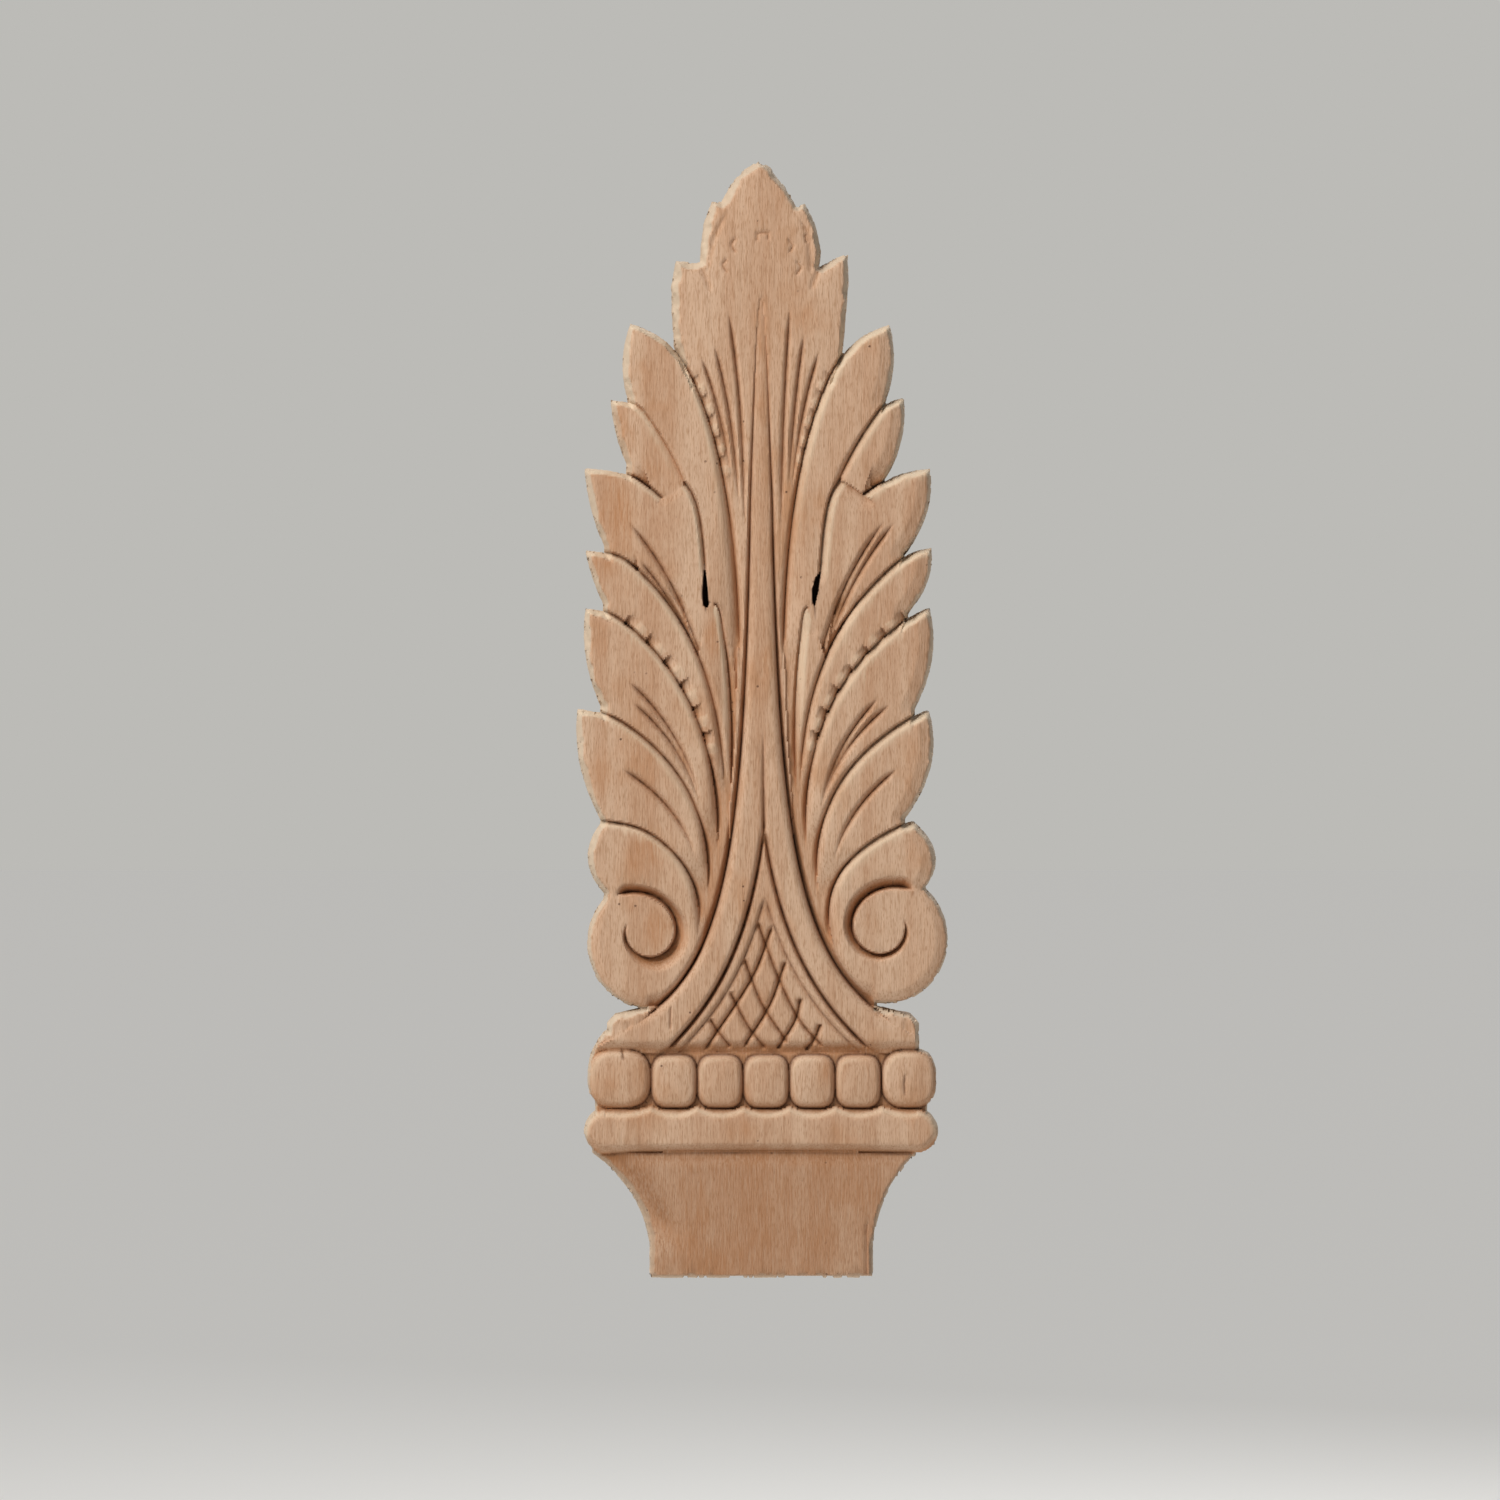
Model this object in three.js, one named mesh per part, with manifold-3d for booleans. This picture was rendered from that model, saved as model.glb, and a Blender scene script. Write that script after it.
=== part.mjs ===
// Carved wooden onlay: an acanthus leaf that rises over a foot with scrolls, beads and a moulding.
// Millimetres. +Z points to the tip of the leaf, the carving faces -Y and the flat back is y = 0.
// The origin is on the back, on the axis of the leaf and half way up.
import * as THREE from 'three';
import { mergeVertices } from 'three/addons/utils/BufferGeometryUtils.js';
import Module from 'manifold-3d';

const wasm = await Module();
wasm.setup();

// Heights of the parts that stand on each other, from the bottom edge to the tip
const baseHeight = 23.2;
const mouldingHeight = 8.4;
const bandHeight = 0.3;
const beadHeight = 10.1;
const leafHeight = 167.6;

// Widths of the foot and the hollow curve down each side of its base
const baseWidth = 42;
const baseChamfer = 0.5;
const cavettoReachLeft = 10.8;
const cavettoReachRight = 8.2;
const cavettoFall = 17;
const cavettoBulgeLeft = 1.6;
const cavettoBulgeRight = 1.1;
const cavettoBulgeShare = 0.62;
const mouldingWidth = 66.6;
const mouldingRounding = 0.9;

// Beads: the row of small ones, the larger one at each end and the bar behind them
const beadRowLeft = -20.6;
const beadPitch = 8.62;
const beadCount = 5;
const beadPower = 3.4;
const endBeadLeftWidth = 12;
const endBeadRightWidth = 10.4;
const endBeadPower = 2.6;
const endBeadRise = 1.1;
const bandInset = 2.1;
const footInset = 3.7;
const footRise = 7.4;
const footShoulder = 1.5;
const footShoulderWidth = 8;

// Levels, measured from the flat back to the surface
const boardThickness = 8.5;
const baseLevel = 7.6;
const bandLevel = 5.3;
const plateLevel = 6;
const centreLevel = 7.7;
const lobeLevel = 8.2;
const latticeLevel = 7.3;
const footLevel = 7;
const seamFloor = 4.9;
const veinFloor = 6.1;
const eyeFloor = 2.5;

// Cuts and edges
const seamWidth = 1.15;
const voluteWidth = 1.5;
const stemCutWidth = 2.3;
const veinWidth = 1.25;
const latticeWidth = 0.9;
const edgeBevel = 0.7;
const lobeEdgeFall = 1.9;
const lobeDraft = 1;
const cutRoot = 0.12;
const blunt = 0.25;
const clear = 2;

// Everything on the leaf is drawn in hundredths of the leaf's height, from its foot up
const unit = leafHeight / 100;
const footHeight = baseHeight + mouldingHeight + bandHeight + beadHeight;
const totalHeight = footHeight + leafHeight;
const leafFootZ = footHeight - totalHeight / 2;
const bottomZ = -totalHeight / 2;

// Ribs: half width of the stem, where it ends, and how the two ribs flare at the foot
const stem = { half: 0.9, top: 84.5, taper: 22 };
const flare = { fall: 17.9, foot: 10.7, footFall: 5.4 };
const fork = { apex: 25.3, fall: 11.9, shift: 0.45 };
const ribSides = {
  left: { sign: -1, flare: 8.95, fork: 13.1 },
  right: { sign: 1, flare: 10.1, fork: 14 },
};

// Crossing cuts between the ribs: where the first one starts and ends and how far apart they are
const lattice = { startZ: 14.6, endX: 6.4, pitch: 3.7, lines: 4, inset: 0.9, bow: -0.5, foot: 0.3 };

// Lobes from the top down: the tip, how far its top edge runs level before it falls, the length of
// that fall, the notch where its outer edge meets the next lobe, its bulge and its lowest point
const lobes = {
  left: [
    { tip: [14.7, 81.8], hook: 3.4, hookFall: 1.3, fall: 14, notch: [15, 73.4], bulge: 0.7, root: 42 },
    { tip: [16.9, 73.3], hook: 2.7, fall: 16, notch: [15.1, 66], bulge: 0.3, root: 60 },
    { tip: [8.5, 63.8], hook: 0.7, fall: 26, notch: [14, 59], bulge: 0.9, root: 34, cutFrom: 0.52 },
    { tip: [5.1, 50.3], hook: 0.3, fall: 14, notch: [7.2, 44], bulge: 0.2, root: 28, sunk: 0.6 },
    { tip: [19.8, 65.6], hook: 4.2, fall: 9, notch: [17.6, 56.8], bulge: 0.4, root: 34, cutFrom: 0.74 },
    { tip: [19.7, 56.4], hook: 3.3, fall: 11.5, notch: [17.7, 50.3], bulge: 0.2, root: 29 },
    { tip: [19.7, 49.9], hook: 2.3, fall: 11, notch: [18, 38.9], bulge: 0.8, root: 22 },
    { tip: [20.6, 38.6], hook: 2.7, fall: 8.6, notch: [18, 26.2], bulge: 1, root: 17 },
    { tip: [17.9, 26.1], hook: 3, fall: 5.5, notch: [17.6, 17.9], bulge: 1.7, root: 9 },
  ],
  right: [
    { tip: [14.4, 81.7], hook: 3.4, hookFall: 1.3, fall: 14, notch: [13.9, 73], bulge: 0.7, root: 42 },
    { tip: [16, 73.5], hook: 1.7, fall: 16, notch: [13.9, 64.3], bulge: 0.8, root: 60 },
    { tip: [8.8, 64.3], hook: 0.7, fall: 26, notch: [14, 59], bulge: 1.2, root: 34, cutFrom: 0.52 },
    { tip: [5.1, 49.9], hook: 0.3, fall: 18, notch: [7.2, 44], bulge: 0.2, root: 28, sunk: 0.6 },
    { tip: [18.9, 65.6], hook: 2.2, fall: 7, notch: [16.1, 55.9], bulge: 1.1, root: 34, cutFrom: 0.74 },
    { tip: [19.1, 56.7], hook: 1.8, fall: 11.5, notch: [16.4, 49.2], bulge: 0.9, root: 29 },
    { tip: [18.9, 49.9], hook: 0.8, fall: 10.3, notch: [17.2, 38.6], bulge: 1.1, root: 22 },
    { tip: [18.8, 38.5], hook: 0.6, fall: 8.3, notch: [16.1, 26.3], bulge: 1.6, root: 17 },
    { tip: [17.2, 26.1], hook: 0.5, fall: 5.3, notch: [18.1, 18.2], bulge: 1.9, root: 9 },
  ],
};

// Fine cuts that run down between the ribs and the lobes: start, length of fall and lowest point
const veins = {
  left: [
    { start: [3.7, 83.3], fall: 13.7, end: 63 },
    { start: [5.3, 79.4], fall: 13.7, end: 63 },
    { start: [6.7, 77.9], fall: 13.7, end: 65 },
    { start: [14.9, 59.6], fall: 15.5, end: 36 },
    { start: [13.5, 55.1], fall: 13.6, end: 44 },
    { start: [14.8, 41.7], fall: 11.4, end: 27 },
    { start: [14.3, 39.3], fall: 10, end: 27 },
    { start: [15.5, 31.9], fall: 7.8, end: 21 },
  ],
  right: [
    { start: [3.2, 83.7], fall: 22, end: 64 },
    { start: [4.8, 80.6], fall: 22, end: 68 },
    { start: [6.5, 78.6], fall: 16, end: 65 },
    { start: [13.8, 59.6], fall: 16, end: 36 },
    { start: [14.9, 59.4], fall: 16, end: 44 },
    { start: [13.1, 39.8], fall: 10.7, end: 27 },
    { start: [14.4, 39.1], fall: 9.3, end: 27 },
    { start: [15.2, 31.9], fall: 9, end: 21 },
  ],
};

// Scrolls: centre and half sizes of the disc, centre and radii of the cut that winds into it
const scrolls = {
  left: { centre: [12.4, 12.4], half: [7.1, 7.4], eye: [12.5, 13.5], inner: 2.7, outer: 5.7 },
  right: { centre: [14, 12.9], half: [6.9, 7.3], eye: [13.3, 14], inner: 2.85, outer: 5.8 },
};

// Deep slots beside the two small inner lobes: top, bottom and width
const eyes = {
  left: { top: [6.4, 55.2], bottom: [6.1, 49.7], width: 1.7 },
  right: { top: [6.4, 54], bottom: [5.9, 49.4], width: 1.7 },
};

// Outline of the centre leaf, from its root up the right side, over the tip and down the left side
const centreOutline = [
  [2.4, 46], [4.5, 64], [8.9, 76.6], [9.3, 80.4], [9.6, 84.2], [9.8, 86.5], [9.7, 89.6],
  [8.2, 89.1], [6.5, 88.2], [6.7, 89.8], [6.3, 92.1], [5.7, 93.7], [4.9, 95.2], [4, 94.9],
  [3.2, 96.3], [2.1, 97.9], [1, 99.3], [-0.4, 100], [-2, 99], [-3.4, 97.5], [-4.5, 95.4],
  [-5.5, 95.6], [-6.4, 93.2], [-6.7, 90.9], [-6.9, 88.6], [-9.6, 88.8], [-10.1, 85.9],
  [-10, 83.1], [-9.8, 79.4], [-8.6, 75.5], [-4.5, 64], [-2.4, 46],
];

// Half widths of the plate that backs the lobes, at rising heights
const plateSteps = [
  [13, 1], [13, 12], [14, 24], [15, 36], [14.5, 48], [13, 60], [11, 70], [7, 77],
];

// Turns a closed geometry into a solid whose faces point outwards
function solid(geometry) {
  const bare = geometry.clone();
  bare.deleteAttribute('normal');
  bare.deleteAttribute('uv');
  const merged = mergeVertices(bare, 1e-5);
  const position = merged.attributes.position;
  const index = merged.index.array;
  const a = new THREE.Vector3();
  const b = new THREE.Vector3();
  const c = new THREE.Vector3();
  let volume = 0;
  for (let i = 0; i < index.length; i += 3) {
    a.fromBufferAttribute(position, index[i]);
    b.fromBufferAttribute(position, index[i + 1]);
    c.fromBufferAttribute(position, index[i + 2]);
    volume += a.dot(b.cross(c));
  }
  const triVerts = new Uint32Array(index);
  if (volume < 0) {
    for (let i = 0; i < triVerts.length; i += 3) {
      triVerts[i + 1] = index[i + 2];
      triVerts[i + 2] = index[i + 1];
    }
  }
  const vertProperties = new Float32Array(position.array);
  return new wasm.Manifold(new wasm.Mesh({ numProp: 3, vertProperties, triVerts }));
}

// Distance of the outer edge of a rib from the axis, at a height on the leaf
function ribOuter(side, z) {
  const narrowed = Math.sqrt(THREE.MathUtils.clamp((stem.top - z) / stem.taper, 0, 1));
  const spread = ribSides[side].flare * Math.exp(-z / flare.fall);
  return stem.half * narrowed + spread + flare.foot * Math.exp(-z / flare.footFall);
}

// Distance of the inner edge of a rib from the axis: none above the fork
function ribInner(side, z) {
  const shift = fork.shift * ribSides[side].sign * (1 - z / stem.top);
  const open = Math.exp(-z / fork.fall) - Math.exp(-fork.apex / fork.fall);
  return shift + ribSides[side].fork * Math.max(open, 0);
}

// A line that falls from its start towards the rib, nearing it by the same share in each fall
// length. A hook is the part of its start that runs nearly level.
class FlowLine extends THREE.Curve {
  constructor(side, start, fall, end, hook = 0, hookFall = 0.35) {
    super();
    Object.assign(this, { side, start, fall, end, hook, hookFall });
  }

  getPoint(t, target = new THREE.Vector2()) {
    const [startX, startZ] = this.start;
    const drop = (startZ - this.end) * (1 - t) ** 2;
    const z = startZ - drop;
    const reach = startX - ribOuter(this.side, startZ) - this.hook;
    const level = this.hook * Math.exp(-drop / this.hookFall);
    return target.set(ribOuter(this.side, z) + reach * Math.exp(-drop / this.fall) + level, z);
  }
}

// The outer edge of a lobe: an arc from its tip to its notch, then down under the next lobe
class OuterEdge extends THREE.Curve {
  constructor(side, lobe) {
    super();
    Object.assign(this, { side, lobe });
    this.arcShare = 0.5;
    this.lap = 3;
  }

  getPoint(t, target = new THREE.Vector2()) {
    const { tip, notch, bulge, fall, root } = this.lobe;
    if (t > 1 - this.arcShare) {
      const share = (1 - t) / this.arcShare;
      const bow = 4 * bulge * share * (1 - share);
      return target.set(
        THREE.MathUtils.lerp(tip[0], notch[0], share) + bow,
        THREE.MathUtils.lerp(tip[1] - blunt / unit, notch[1], share),
      );
    }
    const share = 1 - t / (1 - this.arcShare);
    const drop = (notch[1] - root) * share;
    const z = notch[1] - drop;
    const reach = notch[0] - ribOuter(this.side, notch[1]);
    const lapped = Math.max(drop - this.lap, 0);
    return target.set(ribOuter(this.side, z) + reach * Math.exp(-lapped / fall), z);
  }
}

// The edge of a rib, from its foot at t = 0 to its top
class RibEdge extends THREE.Curve {
  constructor(side, edge, bottom, top) {
    super();
    Object.assign(this, { side, edge, bottom, top });
  }

  getPoint(t, target = new THREE.Vector2()) {
    const z = this.bottom + (this.top - this.bottom) * t ** 1.6;
    return target.set(this.edge(this.side, z), z);
  }
}

// The cut of a scroll: nearly round about its eye, then opening outwards over its last third
class Volute extends THREE.Curve {
  constructor(scroll) {
    super();
    this.scroll = scroll;
    this.begin = THREE.MathUtils.degToRad(28);
    this.sweep = THREE.MathUtils.degToRad(338);
    this.opening = 4.6;
  }

  getPoint(t, target = new THREE.Vector2()) {
    const { eye, inner, outer } = this.scroll;
    const angle = this.begin - this.sweep * t;
    const radius = inner + (outer - inner) * t ** this.opening;
    return target.set(eye[0] + radius * Math.cos(angle), eye[1] + radius * Math.sin(angle));
  }
}

// Places a drawn point on the leaf
function place(side, point) {
  const sign = ribSides[side].sign;
  return new THREE.Vector2(sign * point.x * unit, leafFootZ + point.y * unit);
}

// Points at even distances along a drawn curve, in millimetres
function trace(side, curve, steps) {
  return curve.getSpacedPoints(steps).map((point) => place(side, point));
}

// Points along a drawn curve that lie closer where its own steps are shorter, in millimetres
function sample(side, curve, steps) {
  return curve.getPoints(steps).map((point) => place(side, point));
}

// Unit vectors across a line of points, to the left of its run
function normals(points) {
  return points.map((point, i) => {
    const next = points[Math.min(i + 1, points.length - 1)];
    const last = points[Math.max(i - 1, 0)];
    const run = next.clone().sub(last).normalize();
    return new THREE.Vector2(-run.y, run.x);
  });
}

// A box whose length runs along a line, bent by a function of (step, row, front) to a point
function bentBox(steps, rows, bend) {
  const geometry = new THREE.BoxGeometry(1, 1, 1, steps, 1, rows);
  const position = geometry.attributes.position;
  for (let i = 0; i < position.count; i += 1) {
    const step = Math.round((position.getX(i) + 0.5) * steps);
    const row = Math.round((position.getZ(i) + 0.5) * rows);
    const [x, y, z] = bend(step, row, position.getY(i) < 0);
    position.setXYZ(i, x, y, z);
  }
  return geometry;
}

// A raised strip between two lines, with its surface level given at each share along and across.
// The wall under its first line leans out by the draft.
function strip(first, second, rows, level, draft = 0) {
  const steps = first.length - 1;
  const out = normals(first);
  return solid(bentBox(steps, rows.length - 1, (step, row, front) => {
    const point = first[step].clone().lerp(second[step], rows[row]);
    if (!front && row === 0) {
      point.addScaledVector(out[step], draft);
    }
    const y = front ? -level(step / steps, rows[row]) : clear;
    return [point.x, y, point.y];
  }));
}

// A V-shaped cut along a line, shallow at both ends, that keeps a share of its size at its last end
function vCut(points, width, floor, surface, runOut = 0.16, kept = 1) {
  const steps = points.length - 1;
  const across = normals(points);
  return solid(bentBox(steps, 1, (step, row, front) => {
    const share = step / steps;
    const ends = Math.min(1, (share + 0.01) / runOut, (1.01 - share) / runOut);
    const full = ends * THREE.MathUtils.lerp(1, kept, share);
    const bottom = surface - (surface - floor) * full;
    const top = surface + clear;
    const slope = (width / 2) * full / (surface - bottom + cutRoot);
    const half = front ? cutRoot / 2 + slope * (top - bottom) : cutRoot / 2;
    const point = points[step].clone().addScaledVector(across[step], row ? half : -half);
    return [point.x, front ? -top : -bottom, point.y];
  }));
}

// The room that a lobe takes in what lies under it, with a sloping cut along its upper edge. It runs
// on past the tip. Below the share of its length that it is cut from, the lobe joins its neighbour.
function lobeRoom(upper, lower, cover, cutFrom, turn) {
  const steps = upper.length - 1;
  const across = normals(upper);
  const top = boardThickness + clear;
  const past = upper[steps].clone().sub(upper[steps - 1]).setLength(clear / 2);
  return solid(bentBox(steps, 1, (step, row, front) => {
    const share = step / steps;
    const rise = 1 - THREE.MathUtils.smoothstep(share, 0, 0.4);
    const uncut = share < cutFrom ? boardThickness : seamFloor;
    const floor = Math.max(uncut, THREE.MathUtils.lerp(seamFloor, plateLevel, rise));
    const slope = seamWidth / (lobeLevel - seamFloor);
    const reach = front ? cutRoot + slope * (top - floor) : cutRoot;
    const point = upper[step].clone();
    if (row) {
      point.lerp(lower[step], cover);
    } else {
      point.addScaledVector(across[step], turn * reach);
    }
    point.addScaledVector(past, step === steps ? 1 : 0);
    return [point.x, front ? -top : -floor, point.y];
  }));
}

// Surface of a lobe: a crest behind its upper edge, a slope to its outer edge, low at its root
function lobeSurface(top, along, across) {
  const rise = THREE.MathUtils.smoothstep(along, 0, 0.5);
  const crown = top - lobeEdgeFall * Math.max(0, (across - 0.45) / 0.55) ** 2;
  const crest = across === 0 ? edgeBevel : 0;
  const point = along > 0.97 ? edgeBevel : 0;
  return THREE.MathUtils.lerp(plateLevel - 0.3, crown - crest - point, rise);
}

// Lays one lobe over what is carved above it
function addLobe(body, side, lobe) {
  const steps = 9;
  const upperLine = new FlowLine(side, lobe.tip, lobe.fall, lobe.root, lobe.hook, lobe.hookFall);
  const upper = trace(side, upperLine, steps);
  const lower = trace(side, new OuterEdge(side, lobe), steps);
  const turn = side === 'right' ? 1 : -1;
  const room = lobeRoom(upper, lower, lobe.cover ?? 0.92, lobe.cutFrom ?? 0, turn);
  const rows = [0, 0.14, 0.6, 1];
  const top = lobeLevel - (lobe.sunk ?? 0);
  const surface = (along, across) => lobeSurface(top, along, across);
  return body.subtract(room).add(strip(upper, lower, rows, surface, turn * lobeDraft));
}

// Closed outline pushed back from the carved face, with a bevel around its front edge
function slab(points, level, bevel) {
  const shape = new THREE.Shape(points);
  const geometry = new THREE.ExtrudeGeometry(shape, {
    depth: level - bevel + clear,
    bevelThickness: bevel,
    bevelSize: bevel,
    bevelOffset: -bevel,
    bevelSegments: 1,
  });
  geometry.rotateX(Math.PI / 2);
  geometry.translate(0, clear, 0);
  return solid(geometry);
}

// The plate that backs the lobes
function plate() {
  const right = plateSteps.map(([x, z]) => place('right', new THREE.Vector2(x, z)));
  const left = plateSteps.map(([x, z]) => place('left', new THREE.Vector2(x, z)));
  return slab([...right, ...left.reverse()], plateLevel, edgeBevel);
}

// The centre leaf with its pointed tip, two small lobes and two shoulders
function centreLeaf() {
  const outline = centreOutline.map(([x, z]) => place('right', new THREE.Vector2(x, z)));
  return slab(outline, centreLevel, edgeBevel);
}

// A rib with its stem: a rounded strip from the point of the stem to the foot, which laps a little
// over the line between the two ribs
function rib(side) {
  const steps = 14;
  const lapped = (name, z) => ribInner(name, z) - 0.06;
  const outer = sample(side, new RibEdge(side, ribOuter, 3.4, stem.top), steps);
  const inner = sample(side, new RibEdge(side, lapped, 0.4, stem.top - 0.4), steps);
  const splitShare = 0.5;
  const rows = [0, 0.22, 0.78, 1];
  const surface = (along, across) => {
    const outerBevel = across === 0 ? edgeBevel : 0;
    const innerBevel = across === 1 && along < splitShare ? edgeBevel : 0;
    const fade = THREE.MathUtils.smoothstep(along, 0.6, 1) * (boardThickness - centreLevel);
    return boardThickness - outerBevel - innerBevel - fade;
  };
  return strip(outer, inner, rows, surface);
}

// A drawn line between two points that bows aside
function bowed(from, to, bow) {
  const start = new THREE.Vector2(...from);
  const end = new THREE.Vector2(...to);
  const run = end.clone().sub(start);
  const middle = start.clone().add(end).multiplyScalar(0.5);
  middle.add(new THREE.Vector2(-run.y, run.x).normalize().multiplyScalar(2 * bow));
  return new THREE.QuadraticBezierCurve(start, middle, end);
}

// The triangle between the ribs and its crossing cuts
function latticeField() {
  const steps = 10;
  const left = trace('left', new RibEdge('left', ribInner, 0.2, fork.apex), steps);
  const right = trace('right', new RibEdge('right', ribInner, 0.2, fork.apex - 0.2), steps);
  return strip(left, right, [0, 0.5, 1], () => latticeLevel);
}

function latticeCuts() {
  const cuts = [];
  const { startZ, endX, pitch, lines, inset, bow, foot } = lattice;
  const fillet = (name, z) => ribInner(name, z) - inset;
  const filletTop = fork.apex - 2 * pitch;
  const runOut = 0.1;
  for (const side of ['left', 'right']) {
    const other = side === 'left' ? 'right' : 'left';
    const tilt = fork.shift * ribSides[side].sign;
    for (let line = 0; line < lines; line += 1) {
      const z = startZ - pitch * line;
      const start = [-fillet(other, z), z];
      const curve = bowed(start, [tilt + endX - pitch * line, foot], bow);
      cuts.push(vCut(trace(side, curve, 4), latticeWidth, veinFloor, latticeLevel, runOut));
    }
    const edge = trace(side, new RibEdge(side, fillet, foot, filletTop), 7);
    cuts.push(vCut(edge, latticeWidth, veinFloor, latticeLevel, runOut));
  }
  return cuts;
}

// The scroll's disc with its rounded rim
function scrollDisc(side) {
  const { centre, half } = scrolls[side];
  const rim = [
    new THREE.Vector2(0, -clear),
    new THREE.Vector2(1, -clear),
    new THREE.Vector2(1, lobeLevel - lobeEdgeFall),
    new THREE.Vector2(0.93, lobeLevel - lobeEdgeFall / 3),
    new THREE.Vector2(0.8, lobeLevel),
    new THREE.Vector2(0, lobeLevel),
  ];
  const geometry = new THREE.LatheGeometry(rim, 28);
  geometry.scale(half[0] * unit, 1, half[1] * unit);
  geometry.rotateX(Math.PI);
  const spot = place(side, new THREE.Vector2(...centre));
  geometry.translate(spot.x, 0, spot.y);
  return solid(geometry);
}

// A bead between its left and right edges: a rounded square pillow that may stand higher than the row
function bead(left, right, power, extra) {
  const half = (right - left) / 2;
  const rise = boardThickness - bandLevel;
  const rows = [[1, 0.15], [0.92, 0.65], [0.66, 1]];
  const rim = rows.map(([share, lift]) => new THREE.Vector2(share, bandLevel + rise * lift));
  const profile = [new THREE.Vector2(0, -clear), new THREE.Vector2(1, -clear), ...rim,
    new THREE.Vector2(0, boardThickness)];
  const sides = 14;
  const geometry = new THREE.LatheGeometry(profile, sides, Math.PI / sides);
  const position = geometry.attributes.position;
  for (let i = 0; i < position.count; i += 1) {
    const x = position.getX(i);
    const z = position.getZ(i);
    const radius = Math.hypot(x, z);
    const square = (Math.abs(x) ** power + Math.abs(z) ** power) ** (1 / power);
    const grow = radius ? radius / square : 1;
    position.setX(i, x * grow * half);
    position.setZ(i, z * grow * (beadHeight + extra) / 2);
  }
  geometry.rotateX(Math.PI);
  const middleZ = leafFootZ + (extra - beadHeight) / 2;
  geometry.translate((left + right) / 2, 0, middleZ);
  return solid(geometry);
}

// The row of beads with a larger one at each end
function beadRow() {
  const gap = 0.05;
  const rowRight = beadRowLeft + beadPitch * beadCount;
  const solids = [
    bead(beadRowLeft - endBeadLeftWidth, beadRowLeft - gap, endBeadPower, endBeadRise),
    bead(rowRight + gap, rowRight + endBeadRightWidth, endBeadPower, endBeadRise),
  ];
  for (let i = 0; i < beadCount; i += 1) {
    const left = beadRowLeft + beadPitch * i;
    solids.push(bead(left + gap, left + beadPitch - gap, beadPower, 0));
  }
  return solids;
}

// The bar behind the beads and the feet of the ribs, which end square above the outer beads
function beadBand() {
  const halfBand = mouldingWidth / 2 - bandInset;
  const halfFoot = mouldingWidth / 2 - footInset;
  const topZ = leafFootZ + footRise;
  const low = bottomZ + baseHeight + mouldingHeight / 2;
  const foot = [
    [-halfFoot, leafFootZ - clear],
    [halfFoot, leafFootZ - clear],
    [halfFoot, topZ - footShoulder],
    [halfFoot - footShoulder, topZ],
    [halfFoot - footShoulderWidth, topZ + footShoulder],
    [-halfFoot + footShoulderWidth, topZ + footShoulder],
    [-halfFoot + footShoulder, topZ],
    [-halfFoot, topZ - footShoulder],
  ];
  const band = [
    [-halfBand, low], [halfBand, low], [halfBand, leafFootZ], [-halfBand, leafFootZ],
  ];
  const points = (list) => list.map(([x, z]) => new THREE.Vector2(x, z));
  return [slab(points(foot), footLevel, edgeBevel), slab(points(band), bandLevel, edgeBevel / 2)];
}

// The half-round moulding with its rounded ends
function moulding() {
  const radius = mouldingHeight / 2;
  const straight = mouldingWidth / 2 - radius;
  const rise = radius * mouldingRounding;
  const core = 0.3;
  const shape = new THREE.Shape();
  shape.absarc(straight, 0, core, -Math.PI / 2, Math.PI / 2, false);
  shape.absarc(-straight, 0, core, Math.PI / 2, Math.PI * 1.5, false);
  const geometry = new THREE.ExtrudeGeometry(shape, {
    depth: boardThickness - rise + clear,
    bevelThickness: rise,
    bevelSize: radius - core,
    bevelSegments: 4,
    curveSegments: 5,
  });
  geometry.rotateX(Math.PI / 2);
  geometry.translate(0, clear, bottomZ + baseHeight + radius);
  return solid(geometry);
}

// The tapered block below the moulding, with a hollow curve down each side
function base() {
  const half = baseWidth / 2;
  const endZ = bottomZ + baseHeight;
  const topZ = endZ + mouldingHeight / 3;
  const bendZ = endZ - cavettoFall;
  const bulgeZ = bendZ + cavettoFall * cavettoBulgeShare;
  const shape = new THREE.Shape();
  shape.moveTo(-half, bottomZ + baseChamfer);
  shape.lineTo(-half + baseChamfer, bottomZ);
  shape.lineTo(half - baseChamfer, bottomZ);
  shape.lineTo(half, bottomZ + baseChamfer);
  shape.lineTo(half, bendZ);
  shape.quadraticCurveTo(half + cavettoBulgeRight, bulgeZ, half + cavettoReachRight, endZ);
  shape.lineTo(half + cavettoReachRight, topZ);
  shape.lineTo(-half - cavettoReachLeft, topZ);
  shape.lineTo(-half - cavettoReachLeft, endZ);
  shape.quadraticCurveTo(-half - cavettoBulgeLeft, bulgeZ, -half, bendZ);
  return slab(shape.getPoints(6), baseLevel, edgeBevel);
}

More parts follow.
